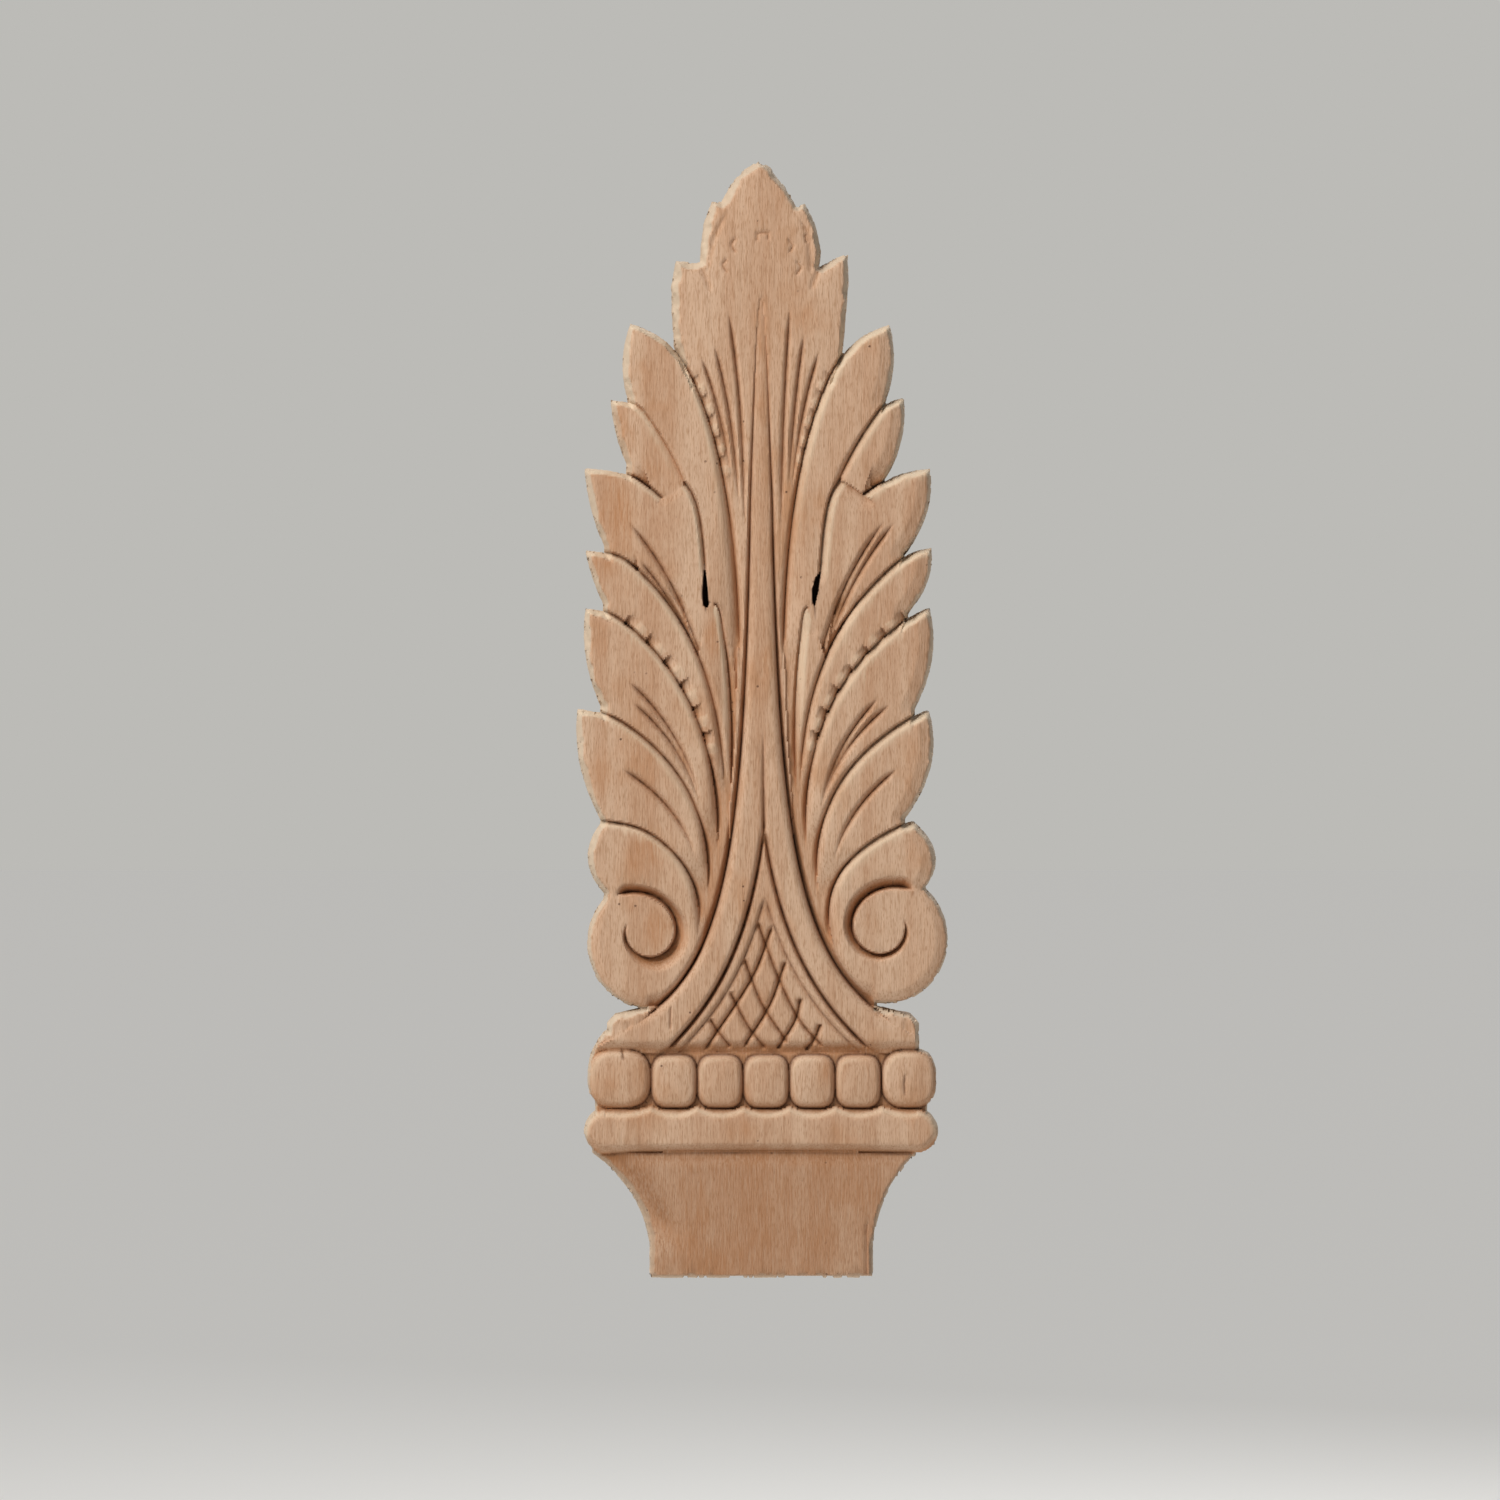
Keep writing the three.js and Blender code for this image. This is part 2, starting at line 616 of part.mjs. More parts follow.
// The whole carving, from the lowest layer up
function applique() {
  let body = plate().add(centreLeaf());
  for (const side of ['left', 'right']) {
    for (const lobe of lobes[side]) {
      body = addLobe(body, side, lobe);
    }
    body = body.add(scrollDisc(side));
    const winding = trace(side, new Volute(scrolls[side]), 20);
    body = body.subtract(vCut(winding, voluteWidth, seamFloor, lobeLevel, 0.08));
    for (const vein of veins[side]) {
      const line = new FlowLine(side, vein.start, vein.fall, vein.end);
      body = body.subtract(vCut(trace(side, line, 5), veinWidth, veinFloor, centreLevel));
    }
    const eye = eyes[side];
    const slot = bowed(eye.top, eye.bottom, 0.1);
    body = body.subtract(vCut(trace(side, slot, 6), eye.width, eyeFloor, centreLevel, 0.3));
  }
  for (const part of beadBand()) {
    body = body.add(part);
  }
  body = body.add(latticeField());
  for (const side of ['left', 'right']) {
    const outer = sample(side, new RibEdge(side, ribOuter, 5.2, stem.top - 1), 14);
    body = body.subtract(vCut(outer, stemCutWidth, seamFloor, boardThickness, 0.12, 0.3));
    body = body.add(rib(side));
    const inner = sample(side, new RibEdge(side, ribInner, 0.6, fork.apex + 12), 11);
    body = body.subtract(vCut(inner, veinWidth, veinFloor - 0.3, boardThickness, 0.1, 0.6));
  }
  for (const cut of latticeCuts()) {
    body = body.subtract(cut);
  }
  for (const part of [...beadRow(), moulding(), base()]) {
    body = body.add(part);
  }
  const behind = new THREE.BoxGeometry(mouldingWidth * 2, clear * 4, totalHeight * 1.5);
  behind.translate(0, clear * 2, 0);
  return body.subtract(solid(behind));
}

// A mesh from a finished solid
function meshOf(name, body, material) {
  const { numProp, vertProperties, triVerts } = body.getMesh();
  const geometry = new THREE.BufferGeometry();
  const vertices = new THREE.InterleavedBuffer(vertProperties, numProp);
  geometry.setAttribute('position', new THREE.InterleavedBufferAttribute(vertices, 3, 0));
  geometry.setIndex(new THREE.BufferAttribute(triVerts, 1));
  const mesh = new THREE.Mesh(geometry, material);
  mesh.name = name;
  return mesh;
}

const wood = new THREE.MeshStandardMaterial({ color: '#c8a587', roughness: 0.8, metalness: 0 });
const group = new THREE.Group();
group.add(meshOf('applique', applique(), wood));

export default group;
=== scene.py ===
# Carved wooden onlay: an acanthus leaf over scrolls, a lattice, beads, a moulding and a tapered base.
# The whole carving is one piece of wood: a relief worked out as depths on a fine net, in millimetres,
# with x to the right, z up the leaf and the depth measured from the flat back.
import math

import bmesh
import bpy
import numpy as np
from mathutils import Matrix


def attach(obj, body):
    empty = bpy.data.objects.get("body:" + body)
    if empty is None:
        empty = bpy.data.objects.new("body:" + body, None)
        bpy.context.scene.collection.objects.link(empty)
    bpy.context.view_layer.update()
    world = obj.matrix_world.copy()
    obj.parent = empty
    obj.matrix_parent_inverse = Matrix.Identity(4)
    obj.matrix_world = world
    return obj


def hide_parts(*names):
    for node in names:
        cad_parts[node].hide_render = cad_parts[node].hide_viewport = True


print("stage: frame")
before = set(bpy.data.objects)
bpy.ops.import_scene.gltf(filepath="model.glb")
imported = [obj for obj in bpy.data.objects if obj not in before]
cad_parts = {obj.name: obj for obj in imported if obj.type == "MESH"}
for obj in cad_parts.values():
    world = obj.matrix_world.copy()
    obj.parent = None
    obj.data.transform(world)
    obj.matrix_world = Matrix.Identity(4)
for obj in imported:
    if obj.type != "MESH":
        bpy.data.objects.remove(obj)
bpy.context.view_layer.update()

# Camera and lights
view = {
    "distance": 1.0,  # m from the back plane
    "frameWidth": 0.28125,  # m shown across the picture at the carved face
    "aimX": -0.0021, "aimZ": -0.0058,  # its place beside and below the middle
    "face": 0.006,  # mean height of the carved face
}
light = {
    "keyPlace": (-0.36, -0.48, 0.36), "keyAim": (0, 0, 0.02), "keySize": 0.15, "keyPower": 2.35,
    "backPlace": (0.35, 0.9, 0.5), "backSize": 0.5, "backPower": 5.0,
    "topPlace": (-0.45, -0.45, 1.0), "topStrength": 1.9, "topAngle": 0.6,
    "ambient": 0.15,  # what the pale room gives from all sides
    "room": "#e4e1dc", "backdrop": "#bcbbb7",
    "floor": "#ecebe8", "floorDrop": -0.3, "floorHalf": 12.0,
}


def linear(code):
    # sRGB hex colour to the linear values that the shaders take
    parts = np.array([int(code[i:i + 2], 16) for i in (1, 3, 5)]) / 255
    value = np.where(parts <= 0.04045, parts / 12.92, ((parts + 0.055) / 1.055) ** 2.4)
    return (*value.tolist(), 1.0)


def addNode(tree, kind, inputs=None, **settings):
    # an input given as a socket is linked, any other is set
    made = tree.nodes.new("ShaderNode" + kind)
    for name, value in settings.items():
        setattr(made, name, value)
    for name, value in (inputs or {}).items():
        if isinstance(value, bpy.types.NodeSocket):
            tree.links.new(value, made.inputs[name])
        else:
            made.inputs[name].default_value = value
    return made


def addObject(name, data):
    made = bpy.data.objects.new(name, data)
    bpy.context.scene.collection.objects.link(made)
    return made


def addLamp(name, kind, place, target, power, **settings):
    # a lamp, turned so that it looks from its place at a point
    data = bpy.data.lights.new(name, kind)
    data.energy = power
    for setting, value in settings.items():
        setattr(data, setting, value)
    lamp = addObject(name, data)
    lamp.location = place
    run = np.array(target, float) - np.array(lamp.location, float)
    flat = math.hypot(run[0], run[1])
    lamp.rotation_euler = (math.atan2(flat, -run[2]), 0, math.atan2(-run[0], run[1]))


# A camera square to the carving, a lamp at the upper left, soft light all round and a floor
print("stage: camera, lights and floor")
camData = bpy.data.cameras.new("camera")
camData.sensor_width = 36
camData.lens = 36 * (view["distance"] - view["face"]) / view["frameWidth"]
camData.clip_start = 0.05
camera = addObject("camera", camData)
camera.location = (view["aimX"], -view["distance"], view["aimZ"])
camera.rotation_euler = (math.pi / 2, 0, 0)
bpy.context.scene.camera = camera
addLamp("key", "AREA", light["keyPlace"], light["keyAim"], light["keyPower"],
        shape="DISK", size=light["keySize"], color=linear("#fffcf7")[:3])
addLamp("back", "AREA", light["backPlace"], (0, 0, 0), light["backPower"],
        shape="DISK", size=light["backSize"])
addLamp("top", "SUN", light["topPlace"], (0, 0, 0), light["topStrength"], angle=light["topAngle"])
world = bpy.data.worlds.new("room")
world.use_nodes = True
tree = world.node_tree
lit = tree.nodes["Background"]
lit.inputs["Color"].default_value = linear(light["room"])
lit.inputs["Strength"].default_value = light["ambient"]
seen = addNode(tree, "Background", {"Color": linear(light["backdrop"]), "Strength": 1.0})
direct = addNode(tree, "LightPath").outputs["Is Camera Ray"]
both = addNode(tree, "MixShader", {0: direct, 1: lit.outputs[0], 2: seen.outputs[0]})
tree.links.new(both.outputs[0], tree.nodes["World Output"].inputs["Surface"])
bpy.context.scene.world = world
bpy.context.scene.view_settings.view_transform = "Standard"
half, drop = light["floorHalf"], light["floorDrop"]
mesh = bpy.data.meshes.new("floor")
corners = [(-half, -half, drop), (half, -half, drop), (half, half, drop), (-half, half, drop)]
mesh.from_pydata(corners, [], [(0, 1, 2, 3)])
floor = addObject("floor", mesh)
paint = bpy.data.materials.new("paleFloor")  # pale matt paint, which shows soft shadows only
paint.use_nodes = True
shader = paint.node_tree.nodes["Principled BSDF"]
shader.inputs["Base Color"].default_value = linear(light["floor"])
shader.inputs["Roughness"].default_value = 0.9
mesh.materials.append(paint)

# Sizes of the carving
# On the leaf, x and z are in hundredths of the leaf's height, from its foot up and from its axis out.
leaf = {
    "unit": 1.676, "footZ": -62.8,
    "stemHalf": 0.9, "stemTop": 84.5, "stemTaper": 22,
    "flareFall": 17.9, "foot": 10.7, "footFall": 5.4,
    "forkApex": 25.3, "forkFall": 11.9, "forkShift": 0.45,
}
sides = {
    "left": {"sign": -1, "flare": 8.95, "fork": 13.1},
    "right": {"sign": 1, "flare": 10.1, "fork": 14.0},
}
levels = {  # from the back
    "blank": 1.0, "board": 8.5, "lobe": 8.2, "root": 7.1, "centre": 7.8, "base": 7.6, "lattice": 7.4,
    "fillet": 7.8, "plate": 6.4, "band": 6.3, "deepest": 4.2, "floor": 1.5,
}
net = {
    "stepX": 0.24, "stepZ": 0.34, "halfX": 36.3, "halfZ": 106.0, "mostTriangles": 188000,
    "catch": 0.22, "catchShare": 0.52,  # a point this near a cut line is drawn onto it
    "pull": 0.3,  # the most that a point at the outline is moved
}
darkLineHalf = 0.22  # half width of a dark line in a cut: scorch and painted shade
far = 9.0  # no cut line near

xs = np.arange(-net["halfX"], net["halfX"] + net["stepX"] / 2, net["stepX"])
zs = np.arange(-net["halfZ"], net["halfZ"] + net["stepZ"] / 2, net["stepZ"])
gridX, gridZ = np.meshgrid(xs, zs)
whole = slice(None)
# marks on the wood: dark lines of scorch and painted shade, pale painted highlights, and real stains
# with painted shade
marks = ("scorchAndShade", "paintedHighlight", "stainAndShade")
board = {}


def startBoard(x, z):
    # a blank board: depth, how far inside the outline, width of the sloping strip there, marks on the
    # wood with painted light and shade, and the nearest cut line
    board.clear()
    board.update(
        x=x, z=z, depth=np.full(x.shape, levels["blank"]), inside=np.full(x.shape, -far),
        strip=np.full(x.shape, 0.6), near=np.full(x.shape, far), nearX=x.copy(), nearZ=z.copy(),
    )
    for name in marks:
        board[name] = np.zeros(x.shape)


def smooth(value):
    # 0 below 0, 1 above 1, with level ends
    value = np.clip(value, 0, 1)
    return value * value * (3 - 2 * value)


def mix(a, b, share):
    # a at a share of 0, b at 1
    return a + (b - a) * share


def fallOff(dist, width, power=1.0):
    # 1 on a line, 0 at a width from it; a power above 1 rounds the shoulder
    return np.clip(1 - dist / width, 0, 1) ** power


def cloud(x, z, sizeX, sizeZ, seed):
    # smooth noise from -1 to 1: random values on a lattice, eased between its points
    table = np.random.default_rng(seed).uniform(-1, 1, (64, 64))
    u, v = x / sizeX, z / sizeZ
    iu, iv = np.floor(u).astype(int), np.floor(v).astype(int)
    fu, fv = smooth(u - iu), smooth(v - iv)
    i, j, k, m = iu % 64, (iu + 1) % 64, iv % 64, (iv + 1) % 64
    low, high = mix(table[k, i], table[k, j], fu), mix(table[m, i], table[m, j], fu)
    return mix(low, high, fv)


def nearTo(line, x, z):
    # distance to a line of points, the share of its length there, the nearest point on it, the side
    # (above 0 on its left) and whether a closed line runs round the place
    lengths = np.hypot(*np.diff(line, axis=0).T)
    run = 0.0
    best = [np.full(x.shape, 1e9), np.zeros(x.shape), x, z, np.zeros(x.shape)]
    within = np.zeros(x.shape, bool)
    for (ax, az), (bx, bz), length in zip(line[:-1], line[1:], lengths):
        if length < 1e-9:
            continue
        ux, uz = bx - ax, bz - az
        t = np.clip(((x - ax) * ux + (z - az) * uz) / length ** 2, 0, 1)
        qx, qz = ax + ux * t, az + uz * t
        found = [np.hypot(x - qx, z - qz), (run + t * length) / lengths.sum(), qx, qz,
                 ux * (z - az) - uz * (x - ax)]
        closer = found[0] < best[0]
        best = [np.where(closer, new, old) for new, old in zip(found, best)]
        if az != bz:
            within ^= ((az > z) != (bz > z)) & (x < ux * (z - az) / uz + ax)
        run += length
    return *best, within


def drawn(side, points):
    # leaf units to millimetres
    points = np.array(points, float).reshape(-1, 2)
    x = sides[side]["sign"] * points[:, 0] * leaf["unit"]
    return np.column_stack([x, leaf["footZ"] + points[:, 1] * leaf["unit"]])


def upLeaf(z):
    # height above the leaf's foot, in leaf units
    return (z - leaf["footZ"]) / leaf["unit"]


def ribOuter(side, z):
    # outer edge of a rib: the stem, which narrows to its point, plus two flares that die out upwards
    taper = np.sqrt(np.clip((leaf["stemTop"] - z) / leaf["stemTaper"], 0, 1))
    flare = sides[side]["flare"] * np.exp(-z / leaf["flareFall"])
    return leaf["stemHalf"] * taper + flare + leaf["foot"] * np.exp(-z / leaf["footFall"])


def ribInner(side, z):
    # inner edge of a rib: on the axis above the fork, opening below it
    shift = leaf["forkShift"] * sides[side]["sign"] * (1 - z / leaf["stemTop"])
    opening = np.exp(-z / leaf["forkFall"]) - math.exp(-leaf["forkApex"] / leaf["forkFall"])
    return shift + sides[side]["fork"] * np.maximum(opening, 0)


def acrossRib(side, edge, x, z):
    # distance outwards from an edge of a rib, across it, in millimetres
    out = sides[side]["sign"] * x / leaf["unit"]
    up = upLeaf(z)
    slope = edge(side, up + 0.5) - edge(side, up - 0.5)
    return (out - edge(side, up)) * leaf["unit"] / np.sqrt(1 + slope ** 2)


def flowLine(side, start, fall, end, hook=0.0, hookFall=0.35, steps=34):
    # nears the rib by the same share in each fall length, after a hook: a level run at its start; the
    # points go from its end up to its start
    drop = (start[1] - end) * np.linspace(1, 0, steps + 1) ** 2
    z = start[1] - drop
    reach = start[0] - ribOuter(side, start[1]) - hook
    x = ribOuter(side, z) + reach * np.exp(-drop / fall) + hook * np.exp(-drop / hookFall)
    return drawn(side, np.column_stack([x, z]))


def outerEdge(side, lobe, steps=12):
    # a bowed arc from the tip to the notch, then a fall under the next lobe
    share = np.linspace(0, 1, steps + 1)
    (tipX, tipZ), (notchX, notchZ) = lobe["tip"], lobe["notch"]
    arcX = mix(tipX, notchX, share) + 4 * lobe["bulge"] * share * (1 - share)
    arcZ = mix(tipZ - 0.15, notchZ, share)
    z = notchZ - (notchZ - lobe["root"]) * share[1:]
    lapped = np.maximum(notchZ - z - 3, 0)
    reach = notchX - ribOuter(side, np.array(notchZ))
    x = ribOuter(side, z) + reach * np.exp(-lapped / lobe.get("lap", lobe["fall"]))
    return drawn(side, np.column_stack([np.r_[arcX, x], np.r_[arcZ, z]]))


def edgeLine(side, edge, bottom, top, steps=40):
    # an edge of a rib between two heights, with its points closest at the bottom
    z = bottom + (top - bottom) * np.linspace(0, 1, steps + 1) ** 1.5
    return drawn(side, np.column_stack([edge(side, z), z]))


def curveThrough(points, steps=14):
    # a smooth line through a few points, by cubic pieces whose slopes come from their neighbours
    points = np.array(points, float)
    ends = np.vstack([2 * points[0] - points[1], points, 2 * points[-1] - points[-2]])
    t = np.linspace(0, 1, steps, endpoint=False)[:, None]
    parts = []
    for a, b, c, d in zip(ends[:-3], ends[1:-2], ends[2:-1], ends[3:]):
        parts.append(0.5 * (2 * b + (c - a) * t + (2 * a - 5 * b + 4 * c - d) * t ** 2
                            + (3 * b - a - 3 * c + d) * t ** 3))
    return np.vstack(parts + [points[-1:]])


def lookAround(line, margin=2.5):
    # the rows and columns of the net around a line, their places and what nearTo says of them
    (x0, z0), (x1, z1) = line.min(0) - margin, line.max(0) + margin
    where = slice(*np.searchsorted(zs, (z0, z1))), slice(*np.searchsorted(xs, (x0, x1)))
    x, z = board["x"][where], board["z"][where]
    return where, x, z, nearTo(line, x, z)


def put(where, name, region, value):
    board[name][where] = np.where(region, value, board[name][where])


def mark(where, name, value):
    # keeps the greater of what is there and a new value
    board[name][where] = np.maximum(board[name][where], value)


def attract(where, dist, px, pz, allowed):
    # remembers the nearest cut line, to which the closest points of the net are drawn
    closer = (dist < board["near"][where]) & allowed
    for name, value in (("near", dist), ("nearX", px), ("nearZ", pz)):
        put(where, name, closer, value)


def cover(where, region):
    # what a piece covers loses its marks and cuts
    for name in marks:
        put(where, name, region, 0.0)
    put(where, "near", region, far)


def scorchShadeLine(dist, share, strength, seed):
    # a dark line in a cut, from scorch and painted shade: sharp, and uneven along its length
    uneven = 0.75 + 0.35 * cloud(share * 40, np.zeros_like(share), 1.0, 1.0, seed)
    return strength * uneven * np.exp(-(dist / darkLineHalf) ** 2)


def alongLine(values, share):
    # one number, or numbers at even steps from the start of a line to its end
    values = np.atleast_1d(np.asarray(values, float))
    return np.interp(share, np.linspace(0, 1, len(values)), values)


def carve(line, width, depth, scorchAndShade=0.5, runOut=0.15, firstEnd=None, power=1.0, tint=0.0):
    # a V-shaped cut along a line, with widths to its left and right, that runs out at both ends;
    # power is that of its shoulders, tint the brown of its walls: partly rawer wood, partly painted
    # shade
    left, right = width if isinstance(width, tuple) else (width, width)
    reach = max(np.max(left), np.max(right), 1.5)
    where, _, _, (dist, share, px, pz, turn, _) = lookAround(line, reach)
    ends = smooth(np.minimum((share + 0.01) / (firstEnd or runOut), (1.01 - share) / runOut))
    wide = np.where(turn > 0, alongLine(left, share), alongLine(right, share)) * (0.3 + 0.7 * ends)
    deep = alongLine(depth, share)
    cut = board["depth"][where] - deep * fallOff(dist, wide, power) * ends
    board["depth"][where] = np.maximum(cut, np.minimum(levels["deepest"], 8.0 - deep))
    # along the cut a dark line of scorch and painted shade; its walls browned by tint, as painted
    # shade and rawer wood
    mark(where, "scorchAndShade", ends * scorchShadeLine(dist, share, alongLine(scorchAndShade, share), 41))
    mark(where, "stainAndShade", tint * ends * fallOff(dist, wide, 0.7))
    attract(where, dist, px, pz, ends > 0.15)


def layShape(loop, height, strip=1.1):
    # lays a closed shape on the board; height is a function of the distance to its edge
    where, x, z, (dist, _, _, _, _, within) = lookAround(loop)
    signed = np.where(within, dist, -dist)
    mark(where, "inside", signed)
    cover(where, within)
    put(where, "strip", within, strip)
    put(where, "depth", within, height(signed, x, z))
    return where


# Centre leaf
centre = {
    "outline": [
        [3.6, 24], [3.5, 28], [2.9, 36], [2.6, 46], [4.5, 64], [8.9, 76.6], [9.3, 80.4],
        [9.6, 84.2], [9.8, 86.5], [9.7, 89.6],
        [8.2, 89.1], [6.5, 88.2], [6.7, 89.8], [6.3, 92.1], [5.7, 93.7], [4.9, 95.2], [4, 94.9],
        [3.2, 96.3], [2.1, 97.9], [1, 99.3], [-0.4, 100], [-2, 99], [-3.4, 97.5], [-4.5, 95.4],
        [-5.5, 95.6], [-6.4, 93.2], [-6.7, 90.9], [-6.9, 88.6], [-9.6, 88.8], [-10.1, 85.9],
        [-10, 83.1], [-9.8, 79.4], [-8.6, 75.5], [-4.5, 64], [-2.6, 46],
        [-2.9, 36], [-3.5, 28], [-3.6, 24],
    ],
    "strip": 1.6,
    # shallow creases that part the side lobes from the tip
    "creases": [
        [[-3.7, 94.2], [-4.9, 92], [-5.7, 89.6], [-6, 87]],
        [[4.2, 93.6], [5.2, 91.6], [5.5, 89], [5.6, 86.6]],
        [[-6.9, 88.2], [-6.2, 86.8], [-5.6, 85]],
        [[6.5, 87.8], [6, 86.6], [5.5, 85.2]],
    ],
    # chisel marks in the tip
    "nicks": [
        [[-0.45, 90.7], [-0.45, 91.7], [0.8, 91.8], [0.8, 90.8]],
        [[-2.8, 91.3], [-3.35, 90.4], [-2.8, 89.5]], [[-3.8, 88.9], [-4.3, 88.2], [-3.8, 87.3]],
        [[3, 91.1], [3.6, 90.3], [3.1, 89.5]], [[3.9, 88.7], [4.5, 87.9], [3.9, 87]],
        [[4.9, 91.6], [5.1, 90.6]],
    ],
    "plate": [[13, -1], [13, 12], [14, 24], [15, 36], [14.5, 48], [13, 60], [11, 70], [7, 77]],
}
# start, length of fall and lowest point of the fine cuts beside the ribs
veins = {
    "left": [
        ([3.7, 83.3], 13.7, 57), ([5.3, 79.4], 13.7, 60), ([6.7, 77.9], 13.7, 64),
        ([14.9, 59.6], 15.5, 36), ([13.5, 55.1], 13.6, 44), ([14.8, 41.7], 11.4, 27),
        ([14.3, 39.3], 10, 27), ([15.5, 31.9], 7.8, 21),
    ],
    "right": [
        ([3.2, 83.7], 22, 57), ([4.8, 80.6], 22, 62), ([6.5, 78.6], 16, 62),
        ([13.8, 59.6], 16, 36), ([14.9, 59.4], 16, 44), ([13.1, 39.8], 10.7, 27),
        ([14.4, 39.1], 9.3, 27), ([15.2, 31.9], 9, 21),
    ],
}
# from the lower end up; the first three run in the centre leaf
vein = {
    "centre": dict(width=[0.95, 0.85, 0.7, 0.6], depth=[0.8, 0.9, 0.9, 0.9], power=1.15,
                   scorchAndShade=[0.3, 0.4, 0.6, 0.7], tint=0.3, firstEnd=0.4),
    "lobe": dict(width=[1, 0.9, 0.8], depth=1.05, power=1.1, scorchAndShade=[0.35, 0.6, 0.85], tint=0.3,
                 firstEnd=0.5),
}


def layPlate():
    # the sunk ground behind the leaf, by half widths at some heights
    steps = np.array(centre["plate"])
    loop = drawn("right", np.vstack([steps, steps[::-1] * [-1, 1], steps[:1]]))
    layShape(loop, lambda edge, x, z: np.full(x.shape, levels["plate"]))


def layCentre():
    # the middle leaf: its face falls a little towards its edge and towards its foot
    loop = drawn("right", centre["outline"])
    loop = np.vstack([loop, loop[:1]])

    def height(edge, x, z):
        dome = 0.35 * fallOff(edge, 7.0, 1.6)
        return levels["centre"] + 0.15 - dome - 0.5 * smooth((30 - z) / 40)

    layShape(loop, height, strip=centre["strip"])
    for line in centre["creases"]:
        carve(drawn("right", curveThrough(line)), 0.8, 0.35, scorchAndShade=0.12, runOut=0.25, tint=0.2)
    for line in centre["nicks"]:
        carve(drawn("right", line), 0.5, 0.35, scorchAndShade=0.1, runOut=0.12, tint=0.15)


def layVeins(side, which):
    # fine cuts that fall beside the rib, by their places in the list
    for start, fall, end in [veins[side][i] for i in which]:
        carve(flowLine(side, start, fall, end), **vein["centre" if which[0] == 0 else "lobe"])


# Lobes, from the top down
# tip, notch to the next lobe, bulge of the arc between them, level run and fall of the top edge
lobes = {
    "left": [
        ([14.7, 81.8], [15, 73.4], 0.7, 3.4, 14), ([16.9, 73.3], [15.1, 66], 0.3, 2.7, 16),
        ([19.8, 65.6], [17.6, 56.8], 0.4, 4.2, 9), ([8.5, 63.8], [14, 59], 0.9, 1.6, 60),
        ([5.1, 50.3], [7.2, 44], 0.2, 0.3, 14), ([19.7, 56.4], [17.7, 50.3], 0.2, 3.3, 11.5),
        ([19.7, 49.9], [18, 38.9], 0.8, 2.3, 11), ([20.6, 38.6], [18, 26.2], 1, 2.7, 8.6),
        ([17.9, 26.1], [17.6, 17.9], 1.7, 3, 5.5),
    ],
    "right": [
        ([14.4, 81.7], [13.9, 73], 0.7, 3.4, 14), ([16, 73.5], [13.9, 64.3], 0.8, 1.7, 16),
        ([18.9, 65.6], [16.1, 55.9], 1.1, 2.2, 7), ([8.8, 64.3], [14, 59], 1.2, 1.5, 60),
        ([5.1, 49.9], [7.2, 44], 0.2, 0.3, 18), ([19.1, 56.7], [16.4, 49.2], 0.9, 1.8, 11.5),
        ([18.9, 49.9], [17.2, 38.6], 1.1, 0.8, 10.3), ([18.8, 38.5], [16.1, 26.3], 1.6, 0.6, 8.3),
        ([17.2, 26.1], [18.1, 18.2], 1.9, 0.5, 5.3),
    ],
}
roots = [42, 60, 34, 34, 28, 29, 22, 17, 9]  # lowest point of each lobe
# what sets some lobes apart, on both sides or on one
apart = {
    0: dict(hookFall=1.3, lap=30, scorchAndShade=0.6), 2: dict(cutFrom=0.74), 3: dict(hookFall=2, arcSeen=5),
    4: dict(arcSeen=4, scorchAndShade=0.3, cut=0.7, melt=3.2),
    ("left", 0): dict(shoulder=2.0), ("left", 1): dict(sunk=0.55, cut=0.35, scorchAndShade=0.15, gap=0.3),
    ("left", 3): dict(cutFrom=0.66), ("right", 3): dict(cutFrom=0.63),
}
lobeCut = {
    "bevel": {"left": 0.8, "right": 1.2},  # width of the slope below the upper edge near its tip
    "shoulder": 1.35,  # and further down, where it is rounded
    "drop": 1.25,
    "gap": 0.4, "gapRoot": 1.1,  # width of the other side of the seam
    "crest": {"left": 1.6, "right": 2.8},  # width of the slope at the outer edge
    "crestDrop": {"left": 0.35, "right": 0.8},
    "reachRoot": 6.5, "strip": 1.35,
}


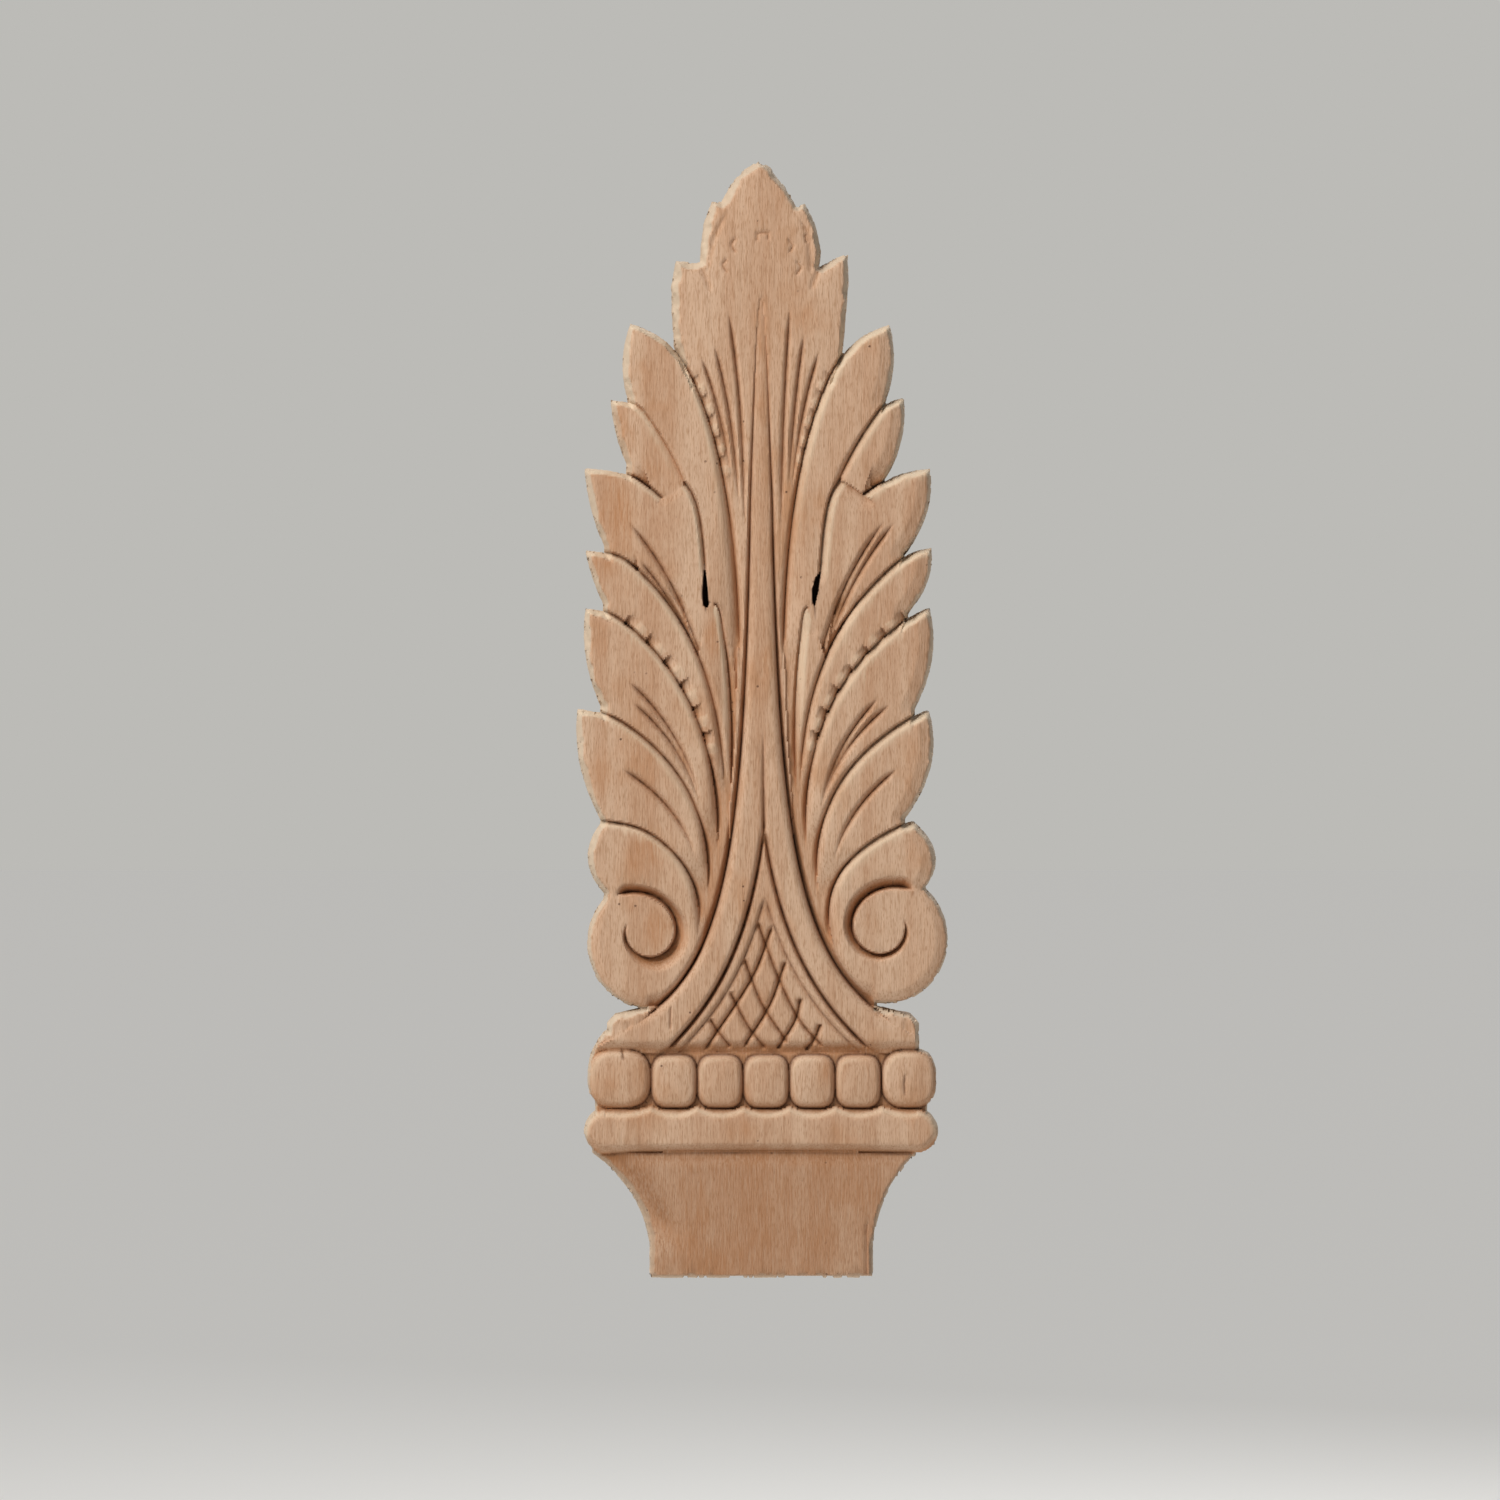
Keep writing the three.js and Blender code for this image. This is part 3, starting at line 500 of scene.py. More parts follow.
def layLobe(side, i):
    # a lobe lies over what is above it: a bevel below its upper edge that turns into a rounded
    # shoulder towards the rib, a nearly flat face and a slope at its outer edge
    lobe = dict(zip(("tip", "notch", "bulge", "hook", "fall"), lobes[side][i]), root=roots[i],
                **apart.get(i, {}), **apart.get((side, i), {}))
    upper = flowLine(side, lobe["tip"], lobe["fall"], lobe["root"], lobe["hook"],
                     lobe.get("hookFall", 0.35))
    outer = outerEdge(side, lobe)
    loop = np.vstack([upper, outer, upper[:1]])
    where, x, z, (edge, _, _, _, _, within) = lookAround(loop)
    mark(where, "inside", np.where(within, edge, -edge))
    fromTop, share, px, pz, _, _ = nearTo(upper, x, z)
    fromSide = nearTo(outer[:lobe.get("arcSeen", 13)], x, z)[0]
    old = board["depth"][where]
    fresh = old < 2 * levels["blank"]
    along = smooth((share - 0.2) / 0.6)
    rising = smooth((upLeaf(z) - lobe["root"] - 0.3) / 6)
    seen = smooth((share - lobe.get("cutFrom", 0) + 0.04) / 0.08) * rising
    drop = lobeCut["drop"] * seen * lobe.get("cut", 1)
    wide = mix(lobe.get("shoulder", lobeCut["shoulder"]), lobeCut["bevel"][side], along)
    power = mix(1.9, 1.0, along)
    outwards = smooth(acrossRib(side, ribOuter, x, z) / lobeCut["reachRoot"])
    face = mix(levels["root"], levels["lobe"] - lobe.get("sunk", 0), outwards)
    face = face - lobeCut["crestDrop"][side] * fallOff(fromSide, lobeCut["crest"][side])
    face = face - drop * fallOff(fromTop, wide, power)
    joined = smooth((share - lobe.get("cutFrom", 0) * 0.8 + 0.02) / 0.12) * rising
    if "melt" in lobe:
        face = mix(old, face, smooth((fromSide - 0.2) / lobe["melt"]))
    under = np.minimum(old, face + 0.4)
    face = np.where(fresh, face, mix(under, face, np.maximum(joined, 0.35 * rising)))
    cover(where, within & ((joined > 0.5) | fresh))
    gap = mix(lobeCut["gapRoot"], lobe.get("gap", lobeCut["gap"]), along)
    beside = old - drop * fallOff(fromTop, gap, mix(1.9, 0.8, along))
    beside = np.where(fresh, old, np.maximum(beside, levels["deepest"]))
    onLine = (fromTop < 0.03) & ~fresh
    lower = np.minimum(face, beside)
    board["depth"][where] = np.where(onLine, lower, np.where(within, face, beside))
    put(where, "strip", within, lobeCut["strip"])
    # the seam's dark line is scorch and painted shade; near the root the rounded shoulder is browned
    # as painted shade; the bevel below the upper edge is paler as a painted highlight
    scorchAndShade = mix(0.4, 0.7, along) * lobe.get("scorchAndShade", 1)
    mark(where, "scorchAndShade", seen * scorchShadeLine(fromTop, share, scorchAndShade, 43) * (~fresh | within))
    mark(where, "stainAndShade", 0.2 * seen * (1 - along) * fallOff(fromTop, wide, 0.8))
    mark(where, "paintedHighlight", 0.75 * along * seen * smooth(2 - 2 * np.abs(fromTop / wide - 0.6)) * within)
    attract(where, fromTop, px, pz, (seen > 0.4) & (share > 0.02))
    return upper


# rows of gouge steps beside the upper edge of a lobe, on the side of the lobe above it: top, bottom,
# number of steps, reach, and how far each falls and rises
teeth = {
    "left": {0: (75.6, 64.4, 5, 1.4, 0.6, 0.2), 6: (48.3, 32.9, 6, 1.9, 1.5, 0.05)},
    "right": {0: (76, 65.6, 5, 1.3, 0.5, 0.2), 6: (48.6, 33.3, 7, 1.7, 1.4, 0.05)},
}


def layTeeth(side, upper, row):
    # each step drops sharply, rises slowly and ends in a small flat block
    top, bottom, count, reach, fall, rise = row
    where, x, z, (dist, share, _, _, turn, _) = lookAround(upper)
    lengths = np.r_[0, np.cumsum(np.hypot(*np.diff(upper, axis=0).T))]
    ends = drawn(side, [[0, top], [0, bottom]])[:, 1]
    first, last = np.interp(ends, upper[:, 1], lengths / lengths[-1])
    phase = (first - share) / (first - last) * count
    step = phase - np.floor(phase)
    beyond = (turn * sides[side]["sign"] > 0) & (phase > 0) & (phase < count)
    ragged = reach * (1 + 0.2 * cloud(x, z, 1.1, 1.1, 47))
    deep = np.clip(1 - step / 0.55, 0, 1) * fallOff(dist, ragged, 0.6)
    block = (step > 0.55) & (dist < ragged) & (dist > 0.2) & beyond
    change = -fall * deep * beyond + rise * block
    board["depth"][where] = np.maximum(board["depth"][where] + change, levels["deepest"])
    # each notch is painted dark as its shadow, and each block top is painted pale as a highlight
    mark(where, "scorchAndShade", 0.5 * deep * beyond * np.clip(1 - step / 0.3, 0, 1))
    mark(where, "paintedHighlight", 0.4 * ((step > 0.42) & (step < 0.8) & (dist < ragged)) * beyond)


# Scrolls and slots
scrolls = {
    "left": dict(centre=[12.4, 12.4], half=[7.1, 7.4], eye=[12.5, 13.5], inner=2.7, outer=5.7,
                 wall=[0.5, 0.7, 2.9, 2.6, 1.5, 1.5, 1.7], deep=[1.2, 1.6, 2.4, 2.8, 2.6, 2.4]),
    "right": dict(centre=[14, 12.9], half=[6.9, 7.3], eye=[13.3, 14], inner=2.85, outer=5.8,
                  wall=[0.6, 0.9, 1.2, 1.5, 1.8, 2, 2], deep=[1.2, 1.6, 2.4, 2.8, 2.8, 2.6]),
    "eyeWall": [0.3, 0.4, 0.6, 0.6],
}
# outlines of the narrow dark holes that the seams of the inner lobes end in
slots = {
    "left": [[6.3, 55], [6.5, 53.2], [6.6, 51.4], [6.5, 50.1], [6.1, 49.8], [5.8, 50.2],
             [6, 52.6]],
    "right": [[6.7, 54], [6.45, 51.9], [6, 49.9], [5.7, 50.6], [5.65, 52], [6.1, 53.4]],
    "floor": 2.6, "wall": 0.3,
}


def layScroll(side):
    # a disc with a rolled rim and the cut that winds into it
    scroll = scrolls[side]
    angle = np.linspace(0, 2 * math.pi, 73)
    ring = np.column_stack([np.cos(angle), np.sin(angle)])
    loop = drawn(side, scroll["centre"] + scroll["half"] * ring)
    where = lookAround(loop)[0]
    old = board["depth"][where]
    onBoard = smooth(board["inside"][where] / 1.5)

    def height(edge, x, z):
        rolled = levels["lobe"] - 0.9 * fallOff(edge, 2.4, 1.2)
        joined = mix(old, levels["lobe"], smooth(edge / 3.5))
        return mix(rolled, joined, onBoard)

    layShape(loop, height, strip=0.9)
    t = np.linspace(0, 1, 61)
    turn = math.radians(28) - math.radians(338) * t
    radius = scroll["inner"] + (scroll["outer"] - scroll["inner"]) * t ** 4.6
    winding = np.column_stack([radius * np.cos(turn), radius * np.sin(turn)])
    widths = (scrolls["eyeWall"], scroll["wall"])
    widths = widths[::-1] if side == "right" else widths
    carve(drawn(side, scroll["eye"] + winding), widths, scroll["deep"], scorchAndShade=[0.6, 0.75, 0.8, 0.9],
          runOut=0.07, firstEnd=0.12, tint=0.9)


def cutSlot(side):
    # a narrow hole with steep walls, dark brown at its rim from scorch and painted shade, and painted
    # near black inside as its shadow
    loop = drawn(side, slots[side] + slots[side][:1])
    where, _, _, (edge, _, px, pz, _, within) = lookAround(loop, 1.0)
    sunk = smooth(edge / slots["wall"]) * within
    board["depth"][where] = mix(board["depth"][where], slots["floor"], sunk)
    mark(where, "scorchAndShade", (0.9 + 0.6 * smooth(edge / 0.7)) * within)
    attract(where, edge, px, pz, edge < 0.2)


# Ribs, fillets and lattice
lattice = {  # in leaf units
    "rising": [([1.23, 14.3], [-1.1, 8.4], [-6.3, 0.5]), ([2.7, 10.4], [1, 5.6], [-1.9, 0.9]),
               ([4.4, 6.3], [3.8, 3.8], [1.8, 0.6]), ([6.6, 3.4], [6, 1.8], [5, 0.5])],
    "falling": [([-0.45, 14.9], [2, 8.4], [4.3, 3.8], [6.9, 0.8]),
                ([-1.9, 10.7], [0.1, 5.6], [3, 1.2]), ([-3.5, 7], [-1.45, 3.1], [0.5, 0.6]),
                ([-5.7, 3.9], [-4.7, 2.35], [-3.4, 0.8])],
    "border": 1.45, "borderTop": 17.6,
}
# drop of a rib's shoulder at its foot and at the top; the groove outside it, from its foot up
rib = {
    "shoulder": 1.1, "shoulderTop": 0.25,
    "scorchAndShade": [0.9, 0.95, 0.95, 0.9, 0.75, 0.6, 0.5, 0.4, 0.35, 0.3],
    "depth": [1.5, 1.6, 1.5, 1.2, 0.8, 0.6],
    "leafSide": [1.2, 1.1, 0.9, 0.7, 0.55, 0.5], "crownSide": [0.6, 0.6, 0.5, 0.45, 0.4, 0.35],
}


def layLattice():
    # the sunk triangle between the ribs, its border bands and its crossing cuts
    left = edgeLine("left", ribInner, -0.2, leaf["forkApex"])
    right = edgeLine("right", ribInner, -0.2, leaf["forkApex"])
    loop = np.vstack([left, right[::-1], left[:1]])
    where, x, z, (_, _, _, _, _, within) = lookAround(loop, 0.5)
    cover(where, within)
    up = upLeaf(z)
    borderLeft = -(ribInner("left", up) - lattice["border"]) * leaf["unit"]
    borderRight = (ribInner("right", up) - lattice["border"]) * leaf["unit"]
    field = (x > borderLeft) & (x < borderRight) & (up < lattice["borderTop"])
    inField = smooth(np.minimum(x - borderLeft, borderRight - x) / 0.5) * field
    level = mix(levels["fillet"], levels["lattice"], inField)
    put(where, "depth", within, level)

    def border(side, up):
        return ribInner(side, up) - lattice["border"]

    for side in sides:
        line = edgeLine(side, border, 0.5, lattice["borderTop"], 30)
        carve(line, 0.65, 0.75, scorchAndShade=0.55, runOut=0.08, power=1.1, tint=0.12)
    for name, depth, scorchAndShade in (("rising", 1.15, 0.75), ("falling", 1.05, 0.55)):
        for line in lattice[name]:
            carve(drawn("right", curveThrough(line)), 1.0, depth, scorchAndShade=scorchAndShade, runOut=0.05, power=1.7,
                  tint=0.2)


def layRibs():
    # two ribs that join to a stem above the fork: crowns with rounded shoulders between cuts
    x, z = board["x"], board["z"]
    up = upLeaf(z)
    for side in sides:
        gapOut = -acrossRib(side, ribOuter, x, z)
        gapIn = acrossRib(side, ribInner, x, z)
        region = (gapOut >= 0) & (gapIn >= -1e-6) & (up > 0.1) & (up < leaf["stemTop"])
        forked = smooth((leaf["forkApex"] + 2 - up) / 4)
        crown = mix(levels["board"], levels["centre"] + 0.15, smooth((up - 40) / 40))
        shoulder = mix(rib["shoulder"], rib["shoulderTop"], smooth((up - 30) / 35))
        shoulder = shoulder * fallOff(gapOut, 1.6, 1.7) * smooth((up - 2.5) / 3)
        crown = crown - shoulder - 0.8 * fallOff(gapIn, 1.1, 1.6) * forked
        lower = np.minimum(crown, board["depth"])
        onLine = (np.abs(gapOut) < 0.04) & (gapIn >= 0) & (up > 0.1) & (up < leaf["stemTop"])
        cover(whole, region)
        put(whole, "depth", region, crown)
        put(whole, "depth", onLine, lower)
    for side in sides:
        line = edgeLine(side, ribOuter, 4.4, leaf["stemTop"] - 0.1, 60)
        widths = (rib["leafSide"], rib["crownSide"])
        carve(line, widths if side == "left" else widths[::-1], rib["depth"], scorchAndShade=rib["scorchAndShade"],
              runOut=0.3, firstEnd=0.05, power=1.2, tint=0.15)
    for side in sides:
        split = edgeLine(side, ribInner, 0.7, leaf["forkApex"] - 0.2, 34)
        carve(split, 0.7, [1.5, 1.5, 1.5, 1.0], scorchAndShade=[0.85, 0.85, 0.8, 0.5], runOut=0.06,
              firstEnd=0.05, power=1.2, tint=0.15)
    line = edgeLine("left", ribInner, leaf["forkApex"] - 0.9, 37.5, 12)
    carve(line, 0.6, [1.0, 0.7, 0.5], scorchAndShade=[0.6, 0.35, 0.2], runOut=0.5, firstEnd=0.1, power=1.1)


# Foot: ends of the ribs with a torn flange, beads, moulding and base, in mm
foot = {
    "bottom": -104.8, "baseTop": -81.6, "mouldingTop": -73.2, "beadBottom": -72.9,
    "baseHalf": 21, "chamfer": 0.5, "cavettoFall": 17, "bulgeShare": 0.62,
    "reach": {"left": 10.8, "right": 8.2}, "bulge": {"left": 1.6, "right": 1.1},
    "flange": [[-27.9, -58], [-29.8, -58.9], [-30.8, -60.4], [-32.1, -62.8], [-32.5, -65.1],
               [-30.2, -66.8], [-25.5, -66.8], [-25.5, -58]],
    "mouldingHalf": 33.3, "mouldingBow": 0.35,
    "footHalf": {"left": 29, "right": 29.6}, "footRise": 7.4,
    "footShoulder": 1.5, "footShoulderWidth": 8,
    "slopeTop": 2.8, "slopeFoot": 0.4, "slopeDrop": 1.5,
    "bandHalf": 31.2, "tornTo": -27,
    "beadEdges": [-32.6, -20.6, -11.98, -3.36, 5.26, 13.88, 22.5, 32.9],
    "endRise": [1, 0.9], "beadPower": 3.7, "endPower": 2.8, "beadFlat": 0.78, "beadDrop": 1.15,
    "foldX": -18.5, "foldZ": -89, "foldSlope": 0.75,
}


def layFoot():
    # the ends of the ribs, and under the left one the torn flange above the first bead
    flange = np.array(foot["flange"] + foot["flange"][:1])
    layShape(flange, lambda edge, x, z: 7.6 + 0.35 * cloud(x, z, 1.2, 1.5, 71), strip=0.8)
    top = leaf["footZ"] + foot["footRise"]
    half, shoulder, wide = foot["footHalf"], foot["footShoulder"], foot["footShoulderWidth"]
    start, end = -half["left"], half["right"]
    base = leaf["footZ"] - 2
    loop = np.array([
        [start, base], [end, base], [end, top - shoulder], [end - shoulder, top],
        [end - wide, top + shoulder], [start + wide, top + shoulder], [start + shoulder, top],
        [start, top - shoulder], [start, base],
    ])
    layShape(loop, lambda edge, x, z: levels["board"] - 0.25 + 0.2 * cloud(x, z, 1.3, 1.6, 51),
             strip=1.1)


def slopeFoot():
    # the feet of the ribs and of the lattice slope down to the beads, and the slope is painted browner
    # as shade
    rise = board["z"] - leaf["footZ"]
    slope = smooth((foot["slopeTop"] - rise) / (foot["slopeTop"] - foot["slopeFoot"]))
    board["depth"] -= foot["slopeDrop"] * slope * (rise > -2)
    mark(whole, "stainAndShade", 0.35 * slope * (rise > foot["slopeFoot"]))


def layBeads():
    # the bar behind the beads, then the beads: rounded squares with nearly flat tops
    half = foot["bandHalf"]
    low, high = foot["baseTop"] + 3, leaf["footZ"]
    band = np.array([[-half, low], [half, low], [half, high], [-half, high], [-half, low]])
    layShape(band, lambda edge, x, z: np.full(x.shape, levels["band"]), strip=0.6)
    edges = foot["beadEdges"]
    x, z = board["x"], board["z"]
    last = len(edges) - 2
    for i, (left, right) in enumerate(zip(edges[:-1], edges[1:])):
        extra = {0: foot["endRise"][0], last: foot["endRise"][1]}.get(i, 0.0)
        power = foot["endPower"] if i in (0, last) else foot["beadPower"]
        bottom, top = foot["beadBottom"], leaf["footZ"] + extra
        middleX, middleZ = (left + right) / 2, (top + bottom) / 2
        halfX, halfZ = (right - left) / 2, (top - bottom) / 2
        dx, dz = (x - middleX) / halfX, (z - middleZ) / halfZ
        size = (np.abs(dx) ** power + np.abs(dz) ** power) ** (1 / power)
        signed = (1 - size) * min(halfX, halfZ)
        inside = signed > 0
        mark(whole, "inside", signed)
        rolled = np.clip((size - foot["beadFlat"]) / (1 - foot["beadFlat"]), 0, 1) ** 1.5
        dome = levels["board"] - 0.5 * size ** 2 - foot["beadDrop"] * rolled
        cover(whole, inside)
        put(whole, "depth", inside, dome)
        put(whole, "strip", inside, 0.5)
        lost = smooth((x - foot["tornTo"]) / 3)  # the first bead runs out into the torn flange
        # painted shade: dark lines round the beads and browner lower edges; a paler arc at the upper
        # left is a painted highlight
        mark(whole, "scorchAndShade", 0.7 * lost * np.exp(-(np.abs(signed) / darkLineHalf) ** 2))
        mark(whole, "stainAndShade", 0.5 * inside * smooth((size - 0.7) / 0.25) * smooth(-dz + 0.2))
        mark(whole, "paintedHighlight", 0.4 * smooth(1 - np.abs(size - 0.82) / 0.14) * smooth(dz - dx * 0.8))
        distance = np.hypot(x - middleX, z - middleZ) + 1e-6
        share = signed / distance
        attract(whole, np.abs(signed), x + (x - middleX) * share, z + (z - middleZ) * share,
                np.abs(signed) < 0.2)


def layBase():
    # the tapered block: straight below, a hollow curve up each side to the moulding
    half, bottom, end = foot["baseHalf"], foot["bottom"], foot["baseTop"]
    bend = end - foot["cavettoFall"]
    rise = bend + foot["cavettoFall"] * foot["bulgeShare"]
    t = np.linspace(0, 1, 22)[:, None]

    def sweep(side):
        sign = sides[side]["sign"]
        a = np.array([sign * half, bend])
        b = np.array([sign * (half + foot["bulge"][side]), rise])
        c = np.array([sign * (half + foot["reach"][side]), end])
        return (1 - t) ** 2 * a + 2 * t * (1 - t) * b + t ** 2 * c

    c = foot["chamfer"]
    loop = np.vstack([
        [[-half, bottom + c], [-half + c, bottom], [half - c, bottom], [half, bottom + c]],
        sweep("right"),
        [[half + foot["reach"]["right"], end + 3], [-half - foot["reach"]["left"], end + 3]],
        sweep("left")[::-1],
        [[-half, bottom + c]],
    ])

    def pastFold(x, z):
        return foot["foldX"] - x - (z - foot["foldZ"]) * foot["foldSlope"]

    def height(edge, x, z):
        # a fold runs down from the upper left corner, and the face is hollowed below the moulding
        past = np.maximum(pastFold(x, z), 0)
        fold = np.minimum(0.3 * past, 1.4) * smooth((z + 101) / 8)
        under = 0.5 * smooth((z - end + 2.5) / 3)
        edgeRight = 0.35 * fallOff(half - 1.1 - x, 0.8) * (z < bend + 4) * (x < half - 1.1)
        return levels["base"] - fold - under - edgeRight

    where = layShape(loop, height, strip=1.4)
    x, z = board["x"][where], board["z"][where]
    across = -pastFold(x, z) / 1.25
    crease = np.exp(-((across + 1.8) / 2.3) ** 2) * smooth((across + 3.6) / 0.8)
    crease = crease * smooth((-15 - x) / 4) * smooth((z + 99) / 7)
    # the whole base is painted darker: partly darker wood, partly painted shade for the light that
    # falls off towards the bottom; along the fold it is painted darker still as shade
    mark(where, "scorchAndShade", 0.17 + 0.15 * crease)
    mark(where, "stainAndShade", 0.5 + 0.15 * cloud(x, z, 7, 9, 73) + 0.4 * crease)


def layMoulding():
    # a bar with round ends: flat on top, rounded below, its upper edge a row of low arcs under the
    # beads and its lower edge bowed up a little in the middle
    x, z = board["x"], board["z"]
    low = foot["baseTop"] + foot["mouldingBow"] * (1 - (x / foot["mouldingHalf"]) ** 2)
    edges = np.array(foot["beadEdges"])
    bead = np.clip(np.searchsorted(edges, x) - 1, 0, len(edges) - 2)
    across = np.clip(2 * (x - edges[bead]) / (edges[bead + 1] - edges[bead]) - 1, -1, 1)
    top = foot["mouldingTop"] - 0.3 + 1.1 * across ** 2 * (np.abs(x) < 29)
    high = foot["mouldingTop"]
    middle, radius = (low + high) / 2, (high - low) / 2
    straight = foot["mouldingHalf"] - radius
    past = np.maximum(np.abs(x) - straight, 0)
    size = np.hypot(past, z - middle) / radius
    signed = (1 - size) * radius
    inside = (signed > 0.001) | ((z > middle) & (z < top) & (past == 0))
    mark(whole, "inside", signed)
    fromTop = np.where(past > 0, signed, top - z)
    fromLow = np.where(past > 0, signed, z - low)
    below = smooth((middle - z) / 2)
    drop = mix(1.2 * fallOff(fromTop, 1.5, 1.4), 2.1 * fallOff(fromLow, 1.9, 1.3), below)
    ragged = 0.15 * cloud(x, z, 1.1, 1.3, 77) * smooth(1 - fromTop / 1.8) * (1 - below)
    cover(whole, inside)
    put(whole, "depth", inside, levels["board"] - 0.1 - drop + ragged)
    put(whole, "strip", inside, 0.7)
    # a paler upper ledge: rough wood with a painted highlight where it faces up; a browner lower roll
    # as painted shade; a dark line of scorch and painted shade in the groove under it
    mark(whole, "paintedHighlight", 0.7 * smooth(1 - np.abs(fromTop - 0.7) / 0.8) * inside * (1 - below))
    mark(whole, "stainAndShade", 0.35 * smooth(1 - fromLow / 1.9) * inside * below)
    groove = np.abs(z - low) + 9 * (np.abs(x) > straight - 1)
    mark(whole, "scorchAndShade", (0.6 + 0.15 * cloud(x, z, 5, 5, 61)) * np.exp(-(groove / 0.32) ** 2))
    attract(whole, np.abs(z - low), x, low, (np.abs(z - low) < 0.2) & (np.abs(x) < straight))


# short cracks and nicks in the foot and the beads, as lines in mm
cracks = [
    ([[-16.9, -53.3], [-17, -58.7]], 0.15), ([[27, -66.2], [26.8, -68.4], [27, -70.9]], 0.4),
    ([[-26.3, -61.4], [-25.9, -62.6], [-25.7, -64]], 0.6),
]
# orange and pinkish stains in the wood: middle, half width, half height in mm, strength
stains = [
    (-26.4, 38.3, 3.6, 8, 0.75), (-28, 51, 4, 9, 0.6), (-20.8, -24.6, 4.6, 4, 0.55),
    (5.4, 37.3, 1.5, 9.4, 0.5), (-29.2, 29.8, 3, 4, 0.5), (-30.2, -9.6, 2.6, 4.5, 0.5),
    (-8.6, 15.2, 2, 4, 0.5), (-11.4, -92.4, 2.2, 11, 0.7), (0.8, 70, 1.2, 9, 0.4),
    (-19.5, -39, 2.4, 5, 0.6),
]


def addFlaws():
    # the cracks are short cuts; the stains are ellipses whose edges run out along the fibres
    for line, scorchAndShade in cracks:
        carve(np.array(line), 0.35, 0.45, scorchAndShade=scorchAndShade, runOut=0.3, power=1.1, tint=0.2)
    for middleX, middleZ, halfX, halfZ, strength in stains:
        x, z = board["x"] - middleX, board["z"] - middleZ
        spread = np.hypot(x / halfX, z / halfZ) + 0.25 * cloud(board["x"], board["z"], 1.1, 3.5, 81)
        mark(whole, "stainAndShade", strength * smooth(1.3 - spread))


def carveBoard(x, z):
    # the whole relief, in the order in which its parts overlap
    startBoard(x, z)
    layPlate()
    layCentre()
    veinsAfter = {3: (3, 4), 6: (5, 6), 7: (7,)}
    for side in sides:
        layVeins(side, (0, 1, 2))
        for i in range(len(roots)):
            upper = layLobe(side, i)
            if i in teeth[side]:
                layTeeth(side, upper, teeth[side][i])
            if i == 3:
                cutSlot(side)
            layVeins(side, veinsAfter.get(i, ()))
        layScroll(side)
    layFoot()
    layLattice()
    layRibs()
    slopeFoot()
    layBase()
    layBeads()
    layMoulding()
    addFlaws()


# the strip along the outline: how its width follows the way it faces, its drop and its fuzz
sawn = {
    "slopeX": 0.75, "slopeZ": -0.6, "width": 0.8, "facing": 0.3, "drop": 0.4, "steep": 1.5,
    "fuzz": 0.12, "wallFrom": 0.25, "clean": 0.5,
}


def finishEdges():
    # a steep rough strip along the outline, wider on the left and the top
    x, z, edge = board["x"], board["z"], board["inside"]
    slopeZ, slopeX = np.gradient(blur(edge, 2), net["stepZ"], net["stepX"])
    facing = np.clip(sawn["slopeX"] * slopeX + sawn["slopeZ"] * slopeZ, -1, 1)
    wide = board["strip"] * (sawn["width"] + sawn["facing"] * facing)
    wide = wide * (1 + 0.25 * cloud(x, z, 1.9, 2.3, 11) + 0.12 * cloud(x, z, 0.6, 0.8, 12))
    share = np.clip(edge / np.maximum(wide, 0.1), 0, 1)
    board["depth"] = board["depth"] - (1 - share) * (sawn["drop"] + sawn["steep"] * wide)
    board["depth"] += sawn["fuzz"] * (share < 1) * cloud(x, z, 0.7, 1.2, 13)
    board["wall"] = smooth((1 - share) / sawn["wallFrom"])
    for name in marks:
        board[name] = board[name] * smooth(share / sawn["clean"])


def blur(values, reach):
    # mean over a square of the net, by running sums, twice
    for _ in range(2):
        for axis in (0, 1):
            size = values.shape[axis]
            sums = np.concatenate([np.zeros_like(np.take(values, [0], axis)),
                                   np.cumsum(values, axis)], axis)
            high = np.minimum(np.arange(size) + reach + 1, size)
            low = np.maximum(np.arange(size) - reach, 0)
            count = (high - low).reshape((-1, 1) if axis == 0 else (1, -1))
            values = (np.take(sums, high, axis) - np.take(sums, low, axis)) / count
    return values


def findHollows():
    # how far the surface lies below its surroundings, in two sizes, and how far below the board's face
    solid = board["inside"] > 0
    kept = np.where(solid, board["depth"], 0)
    hollow = np.zeros(solid.shape)
    for reach, strength in ((3, 0.3), (8, 0.4)):
        around = blur(kept, reach) / np.maximum(blur(solid.astype(float), reach), 0.05)
        hollow += strength * (around - board["depth"])
    hollow += 0.25 * np.clip(levels["lobe"] - 0.4 - board["depth"], 0, 2)
    board["hollow"] = np.clip(hollow, -1, 1)


# The first pass finds the outline and the cut lines, onto which the nearest points of the net are
# moved; the second works out the relief at the moved points
print("stage: relief, first pass")
rough = 0.09 * cloud(gridX, gridZ, 1.3, 1.6, 3) + 0.06 * cloud(gridX, gridZ, 0.5, 0.6, 4)
carveBoard(gridX, gridZ)
inside = board["inside"] + rough
step = min(net["stepX"], net["stepZ"])
filled = inside > -0.4 * step
cells = filled[:-1, :-1] & filled[1:, :-1] & filled[:-1, 1:] & filled[1:, 1:]
for _ in range(3):
    # a point where only two opposite cells meet would pinch the mesh
    a, b, c, d = cells[:-1, :-1], cells[:-1, 1:], cells[1:, :-1], cells[1:, 1:]
    cells[:-1, :-1] &= ~(a & d & ~b & ~c)
    cells[:-1, 1:] &= ~(b & c & ~a & ~d)
used = np.zeros(filled.shape, bool)
count = np.zeros(filled.shape, int)
for rows in (slice(None, -1), slice(1, None)):
    for cols in (slice(None, -1), slice(1, None)):
        used[rows, cols] |= cells
        count[rows, cols] += cells
border = used & (count < 4)
slopeZ, slopeX = np.gradient(inside, net["stepZ"], net["stepX"])
